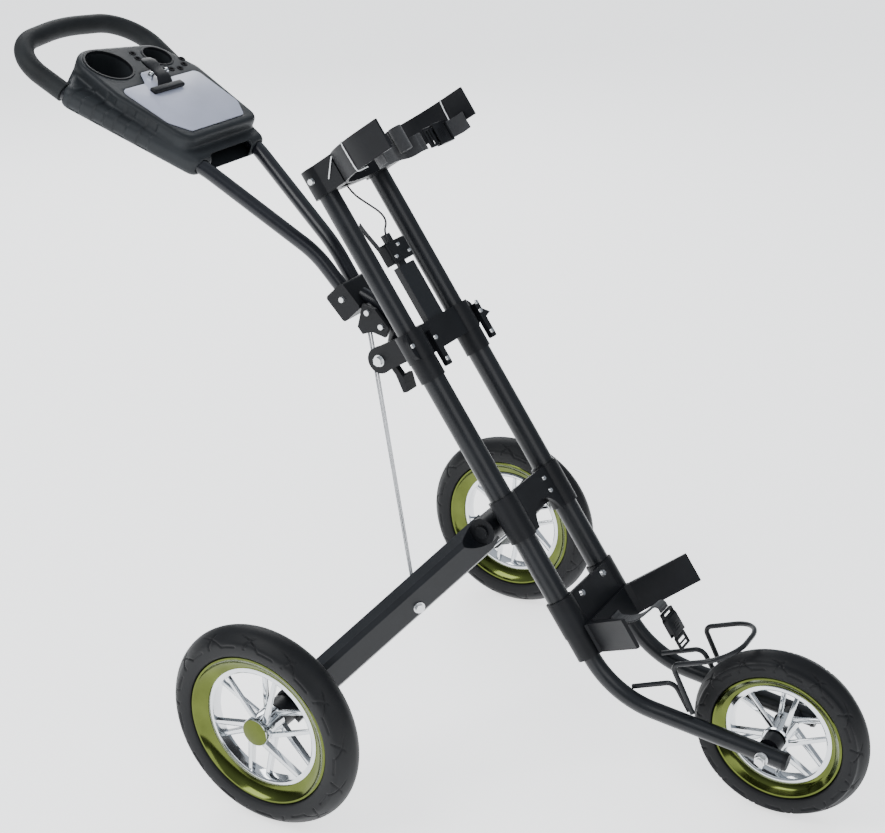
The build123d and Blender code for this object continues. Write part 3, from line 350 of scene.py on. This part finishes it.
def roundedRun(points, step=1.6):
    for _ in range(3):
        cut = []
        for a, b in zip(points, points[1:] + points[:1]):
            a, b = Vector(a), Vector(b)
            cut += [a.lerp(b, 0.25), a.lerp(b, 0.75)]
        points = cut
    fine = []
    for a, b in zip(points, points[1:] + points[:1]):
        parts = max(1, round((b - a).length / step))
        fine += [a.lerp(b, index / parts) for index in range(parts)]
    return [tuple(p) for p in fine]


def grooveAt(turn, rise, facts):
    # how deep, 0 to 1, the shoulder is carved; rise is millimetres outward from the bead
    tall = tread["bandTall"] * facts["tall"]
    band = (rise - tread["bandFrom"] * facts["tall"]) / tall
    if not 0 < band < 1:
        return 0
    mean = facts["radius"] * 2 * pi / tread["arcs"]
    deepest = 0
    for lean, start in ((1, 0), (-0.45, 0.38)):
        swing = lean * (band ** 2) * 0.55 + start
        phase = (turn / (2 * pi) * tread["arcs"] + swing) % 1
        away = min(phase, 1 - phase) * mean
        deepest = max(deepest, max(0, 1 - (away / tread["grooveWidth"]) ** 2))
    crest = abs(band - 0.12) * tall
    phase = (turn / (2 * pi) * tread["arcs"]) % 1
    if phase < 0.38:
        deepest = max(deepest, max(0, 1 - (crest / tread["grooveWidth"]) ** 2))
    return deepest * min(1, 8 * (1 - band))


def makeTyre(name, facts):
    centre = wheelCentre(facts)
    rim, outer, half = facts["rim"], facts["radius"], facts["half"]
    facts = {**facts, "tall": outer - rim}
    side = [(rim - 3, half - 10.3), (rim + 1.2, half - 8.4), (rim + 1.3, half - 2.4), (rim + 5, half - 0.4),
            (rim + 14, half + 0.9), (rim + 22, half + 0.6), (outer - 9, half - 4.6), (outer - 4.2, half - 10),
            (outer - 1.2, half - 16), (outer, 2)]
    points = roundedRun(side + [(radius, -width) for radius, width in reversed(side)])
    bm = spinProfile(points, centre, tread["turns"])
    bm.normal_update()
    for vert in bm.verts:
        reach = Vector((vert.co.x - centre.x, 0, vert.co.z - centre.z))
        wide = abs(vert.co.y - centre.y) * 1000
        turn = (Vector((1, 0)).angle_signed(Vector((reach.x, reach.z)), 0)) % (2 * pi)
        rise = reach.length * 1000 - rim
        depth = grooveAt(turn, rise + 0.35 * max(0, half - 6 - wide), facts) if wide > 4 else 0
        vert.co -= vert.normal * depth * tread["grooveDepth"] / 1000
    title = f"tyre{name.capitalize()}"
    pieceFrom(bm, title, "tyreRubber", facts["body"], (facts["tyre"],), smooth=50)


def addSpoke(bm, start, end, across, thick, broad):
    made = bmesh.ops.create_cube(bm, size=1)
    run = end - start
    out = run.normalized()
    side = across.cross(out).normalized()
    for vert in made["verts"]:
        along = vert.co.z + 0.5
        wide = broad * (1.15 - 0.3 * along)
        vert.co = start + run * along + side * (vert.co.x * wide) + across * (vert.co.y * thick)
    edges = list({edge for vert in made["verts"] for edge in vert.link_edges})
    bmesh.ops.bevel(bm, geom=edges, offset=spokes["bevel"], segments=3, profile=0.5, affect="EDGES",
                    material=-1)


def makeWheel(name, facts):
    centre = wheelCentre(facts)
    rim, half, ring = facts["rim"], facts["half"] - 1, facts["rim"] * 0.74
    outward = facts["cap"]
    band = [(rim - 3.5, half - 8.5), (rim - 0.4, half - 6.9), (rim + 0.4, half - 5.4),
            (rim + 0.4, half - 3.0), (rim - 0.6, half - 2.4), (rim - 3, half - 2.6), (rim - 8, 12.5),
            (ring + 12, 9.6), (ring + 8.5, 8.2), (ring + 7, 8.6), (ring + 5, 9.4), (ring + 2, 9.8),
            (ring + 0.4, 8.8), (ring, 7)]
    mirrored = [(radius, -width) for radius, width in reversed(band)]
    bm = spinProfile(band + mirrored, centre, spokes["ringSteps"])
    title = name.capitalize()
    # the ring's outer band takes the olive painted reflection, the inner lip stays plain chrome
    piece = pieceFrom(bm, f"rimBand{title}", "rimPaintedReflection", facts["body"], facts["wheel"], smooth=35)
    piece.data.materials.append(materials["wheelChrome"])
    for face in piece.data.polygons:
        reach = Vector((face.center.x - centre.x, face.center.z - centre.z)).length * 1000
        face.material_index = 1 if reach < ring + spokes["chromeLip"] else 0

    bm = bmesh.new()
    hub, hubHalf, bore = facts["hub"], facts["hubHalf"], facts["bore"]
    if outward:
        closed = [(0.01, outward * (hubHalf + 5.4)), (hub - 3.5, outward * (hubHalf + 5.4)),
                  (hub - 1.2, outward * (hubHalf + 4.6)), (hub, outward * (hubHalf + 2.5)), (hub - 0.6, 0),
                  (hub, -outward * (hubHalf - 2)), (hub - 2, -outward * hubHalf), (bore, -outward * hubHalf),
                  (bore, outward * (hubHalf - 3)), (0.01, outward * (hubHalf - 3))]
    else:
        closed = [(bore, hubHalf), (hub - 1.5, hubHalf), (hub, hubHalf - 1.5), (hub - 1.0, 0),
                  (hub, 1.5 - hubHalf), (hub - 1.5, -hubHalf), (bore, -hubHalf)]
    barrel = spinProfile(closed, centre, spokes["hubSteps"])
    piece = pieceFrom(barrel, f"hubBarrel{title}", "wheelChrome", facts["body"], (), smooth=35)
    # the hub cap's outward face also takes the olive painted reflection
    piece.data.materials.append(materials["rimPaintedReflection"])
    for face in piece.data.polygons:
        face.material_index = 1 if outward and face.normal.y * outward > 0.9 else 0
    apart = hub * spokes["apart"]
    for index in range(spokes["pairs"]):
        turn = radians(360 / spokes["pairs"] * index + spokes["first"])
        out = Vector((cos(turn), 0, sin(turn)))
        aside = Vector((-sin(turn), 0, cos(turn)))
        for hand in (1, -1):
            offset = aside * hand * apart / 1000
            begin = ((hub - 2.5) ** 2 - apart ** 2) ** 0.5 / 1000
            start = centre + out * begin + offset + Vector((0, hand * (hubHalf - 5) / 1000, 0))
            end = centre + out * (ring + 1.5) / 1000 + offset * spokes["spread"]
            end += Vector((0, hand * 0.0035, 0))
            addSpoke(bm, start, end, Vector((0, 1, 0)), spokes["thick"], spokes["broad"])
    pieceFrom(bm, f"spokes{title}", "wheelChrome", facts["body"], (), smooth=35)


for name, facts in wheels.items():
    makeTyre(name, facts)
    makeWheel(name, facts)
print("wheels made")

# handle tray: one smooth moulding from the two shells, with carved finger bands
tray = {
    "voxel": 0.0015, "smooth": 18, "bands": (190, 154, 121, 85),
    "bandHalf": 8.5, "bandDepth": 2.4, "bandTop": 22,
    "teeSpots": ((220, 16), (207, 13), (192, 18), (168, 44), (165, 60), (171, 76), (183, 85)),
    # the moulding's outer edge: half width at a station, its growth per millimetre, and the wall outside it
    "edge": (66, 18, 0.254, 16),
    "bandReach": 34, "bandLow": -14, "bandHigh": 30, "bandSoft": 1.8, "topFrom": 6,
}


def toTray(point):
    dx = (point.x - layout["rearAxleX"] - layout["trayX"]) * 1000
    dz = (point.z - layout["trayZ"]) * 1000
    c, s = cos(layout["traySlope"]), sin(layout["traySlope"])
    return -dx * c + dz * s, point.y * 1000, dx * s + dz * c


def softStep(value):
    value = max(0, min(1, value))
    return value * value * (3 - 2 * value)


def applyModifiers(piece):
    ready = piece.evaluated_get(bpy.context.evaluated_depsgraph_get())
    mesh = bpy.data.meshes.new_from_object(ready)
    piece.modifiers.clear()
    piece.data = mesh


def makeTrayBody():
    bm = bmesh.new()
    for node in ("tray_top", "tray_bottom"):
        bm.from_mesh(frame["nodes"][node].data)
    bmesh.ops.remove_doubles(bm, verts=bm.verts, dist=0.00001)
    mesh = bpy.data.meshes.new("trayBody")
    bm.to_mesh(mesh)
    bm.free()
    piece = bpy.data.objects.new("trayBody", mesh)
    bpy.context.scene.collection.objects.link(piece)
    remesh = piece.modifiers.new("skin", "REMESH")
    remesh.mode = "VOXEL"
    remesh.voxel_size = tray["voxel"]
    soften = piece.modifiers.new("soften", "SMOOTH")
    soften.factor = 0.5
    soften.iterations = tray["smooth"]
    bpy.context.view_layer.update()
    applyModifiers(piece)
    bm = bmesh.new()
    bm.from_mesh(piece.data)
    bm.normal_update()
    carved = set()
    half, station, growth, wall = tray["edge"]
    for vert in bm.verts:
        rearward, left, height = toTray(vert.co)
        outer = abs(left)
        side = half + (rearward - station) * growth + wall
        depth = 0
        for band in tray["bands"]:
            dh, inward = rearward - band, outer - (side - tray["bandTop"])
            away = abs(dh) if inward > 0 else (dh * dh + inward * inward) ** 0.5
            depth = max(depth, softStep((tray["bandHalf"] - away) / tray["bandSoft"] + 0.5))
        if depth and outer > side - tray["bandReach"] and tray["bandLow"] < height < tray["bandHigh"]:
            facing = vert.normal.copy()
            if facing.y * left > 0 or height > tray["topFrom"]:
                vert.co -= facing * depth * tray["bandDepth"] / 1000
                if depth > 0.5:
                    carved.add(vert)
    for face in bm.faces:
        face.material_index = 1 if all(vert in carved for vert in face.verts) else 0
    bm.to_mesh(piece.data)
    bm.free()
    piece.data.materials.clear()
    piece.data.materials.append(materials["console"])
    # the carved bands take the lighter colour that is partly a painted highlight
    piece.data.materials.append(materials["bandToneAndPaintedHighlight"])
    piece.data.shade_smooth()
    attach(piece, "handle")
    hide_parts("tray_top", "tray_bottom")


makeTrayBody()


def trayMatrix(rearward, left, height):
    c, s = cos(layout["traySlope"]), sin(layout["traySlope"])
    axes = Matrix(((c, 0, s), (0, 1, 0), (-s, 0, c))).to_4x4()
    return Matrix.Translation(onTray(rearward, left, height)) @ axes


plate = {
    "outline": ((40, 58), (68, 78), (146, 81), (152, 75), (152, 16), (176, 14), (176, -16), (153, -31),
                (153, -76), (147, -82), (68, -78), (40, -58)),
    "corner": 0.0035, "rim": 0.0016, "rise": 0.0010, "base": 34.6, "bevel": 0.0004, "panelLift": 0.0006,
}


def makePlate():
    for name, finish, inner in (("plateEdge", "plateEdge", False), ("platePanel", "platePlastic", True)):
        bm = bmesh.new()
        verts = [bm.verts.new((-rearward / 1000, left / 1000, 0)) for rearward, left in plate["outline"]]
        face = bm.faces.new(verts)
        bmesh.ops.inset_region(bm, faces=[face], thickness=0.0008)
        for other in [f for f in bm.faces if f is not face]:
            bm.faces.remove(other)
        for vert in [v for v in bm.verts if not v.link_faces]:
            bm.verts.remove(vert)
        bmesh.ops.bevel(bm, geom=list(bm.verts), offset=plate["corner"], segments=5, profile=0.5,
                        affect="VERTICES", material=-1)
        face = bm.faces[:][0] if len(bm.faces) == 1 else max(bm.faces, key=lambda f: f.calc_area())
        if inner:
            ring = bmesh.ops.inset_region(bm, faces=[face], thickness=plate["rim"])
            for other in ring["faces"]:
                bm.faces.remove(other)
            for vert in [v for v in bm.verts if not v.link_faces]:
                bm.verts.remove(vert)
        bm.faces.ensure_lookup_table()
        face = max(bm.faces, key=lambda f: f.calc_area())
        made = bmesh.ops.extrude_face_region(bm, geom=[face])
        top = [v for v in made["geom"] if isinstance(v, bmesh.types.BMVert)]
        lift = plate["rise"] + (plate["panelLift"] if inner else 0)
        bmesh.ops.translate(bm, verts=top, vec=(0, 0, lift))
        rimEdges = [e for e in bm.edges if all(v in top for v in e.verts)]
        bmesh.ops.bevel(bm, geom=rimEdges, offset=plate["bevel"], segments=2, profile=0.5,
                        affect="EDGES", material=-1)
        bmesh.ops.recalc_face_normals(bm, faces=bm.faces)
        bmesh.ops.transform(bm, matrix=trayMatrix(0, 0, plate["base"]), verts=bm.verts)
        pieceFrom(bm, name, finish, "handle", ("scorecard_plate",) if inner else (), smooth=30)


makePlate()

clip = {
    "thick": 0.0034, "barHalf": (6.0, 33.0, 3.2), "barAt": (-131, -9, 39.4), "crown": 0.9,
    # from the thumb pad over the hinge to the foot: rearward, height, half width, left
    "sections": ((192, 47.0, 6, 5), (189, 48.6, 10.5, 5), (182, 49.2, 13, 5), (174, 48.4, 13, 4.5),
                 (168, 47.2, 11, 4), (161, 46.8, 11, 3), (152, 47.2, 12, 1), (145, 45.6, 13.5, -2),
                 (139, 41.8, 15, -5), (134, 38.6, 17, -8)),
}


def makeClip():
    bm = bmesh.new()
    rows = []
    for rearward, height, half, left in clip["sections"]:
        rows.append([bm.verts.new((-rearward / 1000, (left + half * share) / 1000,
                                   (height - clip["crown"] * share * share) / 1000))
                     for share in (-1, -0.6, 0, 0.6, 1)])
    for a, b in zip(rows, rows[1:]):
        for index in range(4):
            bm.faces.new((a[index], a[index + 1], b[index + 1], b[index]))
    bmesh.ops.recalc_face_normals(bm, faces=bm.faces)
    bmesh.ops.solidify(bm, geom=bm.faces[:], thickness=clip["thick"])
    edges = [e for e in bm.edges if e.is_manifold and e.calc_face_angle(0) > 0.9]
    bmesh.ops.bevel(bm, geom=edges, offset=0.0007, segments=2, profile=0.5, affect="EDGES", material=-1)
    made = bmesh.ops.create_cube(bm, size=1)
    halfX, halfY, halfZ = clip["barHalf"]
    barX, barY, barZ = clip["barAt"]
    for vert in made["verts"]:
        vert.co = Vector((vert.co.x * 2 * halfX + barX, vert.co.y * 2 * halfY + barY,
                          vert.co.z * 2 * halfZ + barZ)) / 1000
    bar = list({e for v in made["verts"] for e in v.link_edges})
    bmesh.ops.bevel(bm, geom=bar, offset=0.0029, segments=5, profile=0.5, affect="EDGES", material=-1)
    bmesh.ops.recalc_face_normals(bm, faces=bm.faces)
    bmesh.ops.transform(bm, matrix=trayMatrix(0, 0, 0), verts=bm.verts)
    pieceFrom(bm, "cardClip", "moulding", "scorecard_clip", ("scorecard_clip",), smooth=40)


makeClip()


def ringPiece(name, spot, outer, inner, low, high, finish, steps=40):
    bm = bmesh.new()
    profile = ((inner, low), (inner, high - 0.5), (inner + 0.5, high), (outer - 0.7, high),
               (outer, high - 0.6), (outer, low))
    verts = [bm.verts.new((radius / 1000, 0, height / 1000)) for radius, height in profile]
    edges = [bm.edges.new(pair) for pair in zip(verts, verts[1:])]
    edges.append(bm.edges.new((verts[-1], verts[0])))
    bmesh.ops.spin(bm, geom=verts + edges, cent=(0, 0, 0), axis=(0, 0, 1), angle=2 * pi, steps=steps,
                   use_merge=True)
    bmesh.ops.remove_doubles(bm, verts=bm.verts, dist=0.00001)
    bmesh.ops.recalc_face_normals(bm, faces=bm.faces)
    bmesh.ops.transform(bm, matrix=trayMatrix(spot[0], spot[1], 0), verts=bm.verts)
    pieceFrom(bm, name, finish, "handle", (), smooth=40)


ringPiece("cupRim", (209, -46.5), 37.4, 34.0, 31.0, 36.2, "moulding", 96)
ringPiece("ballRim", (202, 51), 24.6, 21.5, 31.0, 36.0, "moulding", 72)
for index, spot in enumerate(tray["teeSpots"]):
    ringPiece(f"teeRim{index + 1}", spot, 5.2, 2.6, 30.0, 35.8, "darkHollow", 24)
print("tray made")

# webbing, buckles, release cord and white ties
straps = {
    "thick": 0.0019, "width": 0.024,
    # station, ahead, left of the band's middle line, all in the frame's own directions
    "right": ((948, 138, -101), (948, 124, -96), (948, 110, -82), (949, 104, -58), (950, 102, -32),
              (949, 101, -16), (947, 104, 2), (947, 114.5, 8), (947, 117, 15), (947, 117.2, 25)),
    "left": ((947, 122.5, 80), (947, 125, 88), (947, 132, 96), (948, 143, 100)),
    "roll": (962, 109, -12), "rollTurns": 2.6, "rollInner": 3.2, "rollStep": 2.4, "rollWidth": 0.034,
    "rollAhead": 1.15, "rollSide": 1.25,
    "lower": ((264, 25.4, 0), (256, 28, 0), (250, 44, 0), (249, 62, 0), (254, 82, 0), (257, 94, 0),
              (253, 100, 0), (245, 100.5, 0)),
    "bagRipple": 0.0006, "cradleRipple": 0.0004, "cradleNarrower": 0.95,
    "catchWidth": 0.0085, "catchThick": 0.0016,
    "catch": ((893, 7, -44), (880, 4.5, -38), (866, 4, -33), (852, 4.6, -29.5)),
}
frameAhead = Vector((sin(layout["slope"]), 0, cos(layout["slope"])))
frameUp = Vector((-cos(layout["slope"]), 0, sin(layout["slope"])))


def smoothPath(points, parts=6):
    ends = [points[0]] + list(points) + [points[-1]]
    path = []
    for index in range(1, len(ends) - 2):
        a, b, c, d = [Vector(p) for p in ends[index - 1:index + 3]]
        for part in range(parts):
            t = part / parts
            path.append(0.5 * ((2 * b) + (c - a) * t + (2 * a - 5 * b + 4 * c - d) * t * t
                               + (3 * b - a - 3 * c + d) * t ** 3))
    path.append(Vector(points[-1]))
    return path


def bandPiece(name, path, across, width, thick, replaced=(), ripple=0.0):
    bm = bmesh.new()
    shares = (-1, -0.94, -0.5, 0, 0.5, 0.94, 1)
    rows = []
    for index, point in enumerate(path):
        crown = ripple * sin(index * 0.9)
        rows.append([bm.verts.new(point + across * (width / 2 * share)
                                  + frameAhead * (crown * (1 - share * share))) for share in shares])
    for a, b in zip(rows, rows[1:]):
        for index in range(len(shares) - 1):
            bm.faces.new((a[index], a[index + 1], b[index + 1], b[index]))
    bmesh.ops.recalc_face_normals(bm, faces=bm.faces)
    bmesh.ops.solidify(bm, geom=bm.faces[:], thickness=thick)
    edges = [e for e in bm.edges if e.is_manifold and e.calc_face_angle(0) > 1.0]
    bmesh.ops.bevel(bm, geom=edges, offset=thick * 0.3, segments=2, profile=0.5, affect="EDGES", material=-1)
    bmesh.ops.recalc_face_normals(bm, faces=bm.faces)
    pieceFrom(bm, name, "webbing", "frame", replaced, smooth=45)


def makeStraps():
    thick = straps["thick"]
    for name, replaced in (("right", ("straps",)), ("left", ())):
        path = [alongFrame(*p) for p in smoothPath(straps[name])]
        bandPiece(f"bagStrap{name.capitalize()}", path, frameUp, straps["width"], thick, replaced,
                  straps["bagRipple"])
    spiral = []
    station, ahead, left = straps["roll"]
    steps = round(straps["rollTurns"] * 28)
    for index in range(steps + 1):
        turn = 2 * pi * index / 28
        radius = straps["rollInner"] + straps["rollStep"] * turn / (2 * pi)
        spiral.append(alongFrame(station, ahead + radius * cos(turn) * straps["rollAhead"],
                                 left + radius * sin(turn) * straps["rollSide"]))
    bandPiece("strapRoll", spiral, frameUp, straps["rollWidth"], thick)
    path = [alongFrame(*p) for p in smoothPath(straps["lower"])]
    bandPiece("cradleStrap", path, Vector((0, 1, 0)), straps["width"] * straps["cradleNarrower"], thick, (),
              straps["cradleRipple"])
    path = [alongFrame(*p) for p in smoothPath(straps["catch"])]
    leaning = frameUp.cross(frameAhead).lerp(frameUp, 0.45).normalized()
    bandPiece("catchStrap", path, leaning, straps["catchWidth"], straps["catchThick"])


makeStraps()

buckle = {
    "upper": {"place": (947, 118, 48), "hanging": False,
              "body": "upper_tongue", "tongue": "upper_buckle_tongue"},
    "lower": {"place": (212, 96, 0), "hanging": True,
              "body": "lower_tongue", "tongue": "lower_buckle_tongue"},
    "thick": 9.0, "bodyFrom": -4, "bodyTo": 32, "half": 15,
}


def softBlock(bm, low, high, offset, matrix, segments=3):
    made = bmesh.ops.create_cube(bm, size=1)
    middle = [(a + b) / 2 for a, b in zip(low, high)]
    size = [b - a for a, b in zip(low, high)]
    for vert in made["verts"]:
        vert.co = Vector([(c * s + m) / 1000 for c, s, m in zip(vert.co, size, middle)])
    edges = list({e for v in made["verts"] for e in v.link_edges})
    after = bmesh.ops.bevel(bm, geom=edges, offset=offset / 1000, segments=segments, profile=0.5,
                            affect="EDGES", material=-1)
    verts = list({v for f in after["faces"] for v in f.verts})
    whole = set(verts)
    grow = list(verts)
    while grow:
        for edge in grow.pop().link_edges:
            for vert in edge.verts:
                if vert not in whole:
                    whole.add(vert)
                    grow.append(vert)
    bmesh.ops.transform(bm, matrix=matrix, verts=list(whole))


def buckleMatrix(facts):
    side = frameUp if facts["hanging"] else Vector((0, 1, 0))
    axes = Matrix((side, frameAhead.cross(side), frameAhead)).transposed().to_4x4()
    return Matrix.Translation(alongFrame(*facts["place"])) @ axes


def makeBuckles():
    half, thick = buckle["half"], buckle["thick"]
    begin, end = buckle["bodyFrom"], buckle["bodyTo"]
    bm = bmesh.new()
    for key in ("upper", "lower"):
        matrix = buckleMatrix(buckle[key])
        softBlock(bm, (begin, -half, thick - 2), (end - 10, half, thick), 0.9, matrix)
        softBlock(bm, (begin, -half, 0), (end - 10, half, 2), 0.9, matrix)
        for left in (-half, half - 4):
            softBlock(bm, (begin + 5, left, 0.6), (end - 8, left + 4, thick - 0.6), 0.8, matrix)
        softBlock(bm, (end - 16, -half + 2, 0.8), (end - 10, half - 2, thick - 0.8), 0.7, matrix)
        for low, high in ((22, 25), (29, 32)):
            softBlock(bm, (low, -half, 1.5), (high, half, thick - 1.5), 1.0, matrix)
        for left in (-half, half - 3.4):
            softBlock(bm, (20, left, 1.5), (32, left + 3.4, thick - 1.5), 1.0, matrix)
        for rib in range(4):
            softBlock(bm, (2 + 3.4 * rib, -7, thick - 0.3), (3.6 + 3.4 * rib, 7, thick + 0.5), 0.3, matrix, 2)
    pieceFrom(bm, "buckleShells", "moulding", "frame", ("buckle_bodies",), smooth=40)
    for key in ("upper", "lower"):
        facts = buckle[key]
        matrix = buckleMatrix(facts)
        bm = bmesh.new()
        for left in (-11.5, 8.0):
            softBlock(bm, (-7, left, 2.7), (8.5, left + 3.5, 6.3), 0.8, matrix)
        softBlock(bm, (-8, -2.2, 2.8), (5, 2.2, 6.2), 0.8, matrix)
        softBlock(bm, (-10.4, -14, 2.6), (-5.2, 14, 6.4), 1.2, matrix)
        for left in (-14, 10.2):
            softBlock(bm, (-24, left, 2.6), (-6, left + 3.8, 6.4), 1.2, matrix)
        softBlock(bm, (-17.4, -12, 3.0), (-14.8, 12, 6.0), 0.9, matrix)
        softBlock(bm, (-24, -13, 2.6), (-20.8, 13, 6.4), 1.2, matrix)
        pieceFrom(bm, f"{key}Tongue", "moulding", facts["body"], (facts["tongue"],), smooth=40)


makeBuckles()
print("straps and buckles made")


cord = {
    "thick": 0.0014, "length": 0.112,
    # station, ahead, left, from the yoke's web down to the hole in the catch
    "route": ((947.5, 6, -24), (934, 8, -24), (914, 17, -19), (895, 20, -6), (881, 16, 0), (870, 9, -9),
              (851.5, 9, -9)),
}


def makeCord():
    data = bpy.data.curves.new("releaseCord", "CURVE")
    data.dimensions = "3D"
    data.bevel_depth = cord["thick"]
    data.bevel_resolution = 3
    data.use_fill_caps = True
    data.resolution_u = 12
    spline = data.splines.new("NURBS")
    spline.points.add(len(cord["route"]) - 1)
    for point, place in zip(spline.points, cord["route"]):
        point.co = (*alongFrame(*place), 1)
    spline.order_u = 3
    spline.use_endpoint_u = True
    piece = bpy.data.objects.new("releaseCord", data)
    bpy.context.scene.collection.objects.link(piece)
    data.materials.append(materials["cord"])
    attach(piece, "frame")
    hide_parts("release_cord")


makeCord()

ties = {
    "thick": 0.0009,
    # station, ahead, left of each white cable tie on the yoke's wings
    "routes": (
        ((990, 89.5, -101), (989.6, 89.5, -103.5), (966, 90, -103.8), (948, 90.5, -103.6), (946.6, 92, -100),
         (946.6, 99, -90)),
        ((985, 48, -78.6), (975, 36, -77), (963, 25, -77)),
        ((989.6, 119, 103), (982, 118.3, 101.8), (966, 117.4, 101.8), (952, 116.8, 101.8)),
    ),
}


def makeTie(name, path):
    data = bpy.data.curves.new(name, "CURVE")
    data.dimensions = "3D"
    data.bevel_depth = ties["thick"]
    data.bevel_resolution = 3
    spline = data.splines.new("NURBS")
    spline.points.add(len(path) - 1)
    for point, place in zip(spline.points, path):
        point.co = (*place, 1)
    spline.use_endpoint_u = True
    spline.order_u = 3
    data.resolution_u = 8
    data.use_fill_caps = True
    strand = bpy.data.objects.new(name + "Line", data)
    bpy.context.scene.collection.objects.link(strand)
    bpy.context.view_layer.update()
    mesh = bpy.data.meshes.new_from_object(strand.evaluated_get(bpy.context.evaluated_depsgraph_get()))
    bpy.data.objects.remove(strand)
    piece = bpy.data.objects.new(name, mesh)
    bpy.context.scene.collection.objects.link(piece)
    mesh.materials.clear()
    mesh.materials.append(materials["whitePlastic"])
    mesh.shade_smooth()
    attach(piece, "frame")


for index, route in enumerate(ties["routes"]):
    makeTie(f"cableTie{index + 1}", [alongFrame(*p) for p in route])
print("cord and ties made")
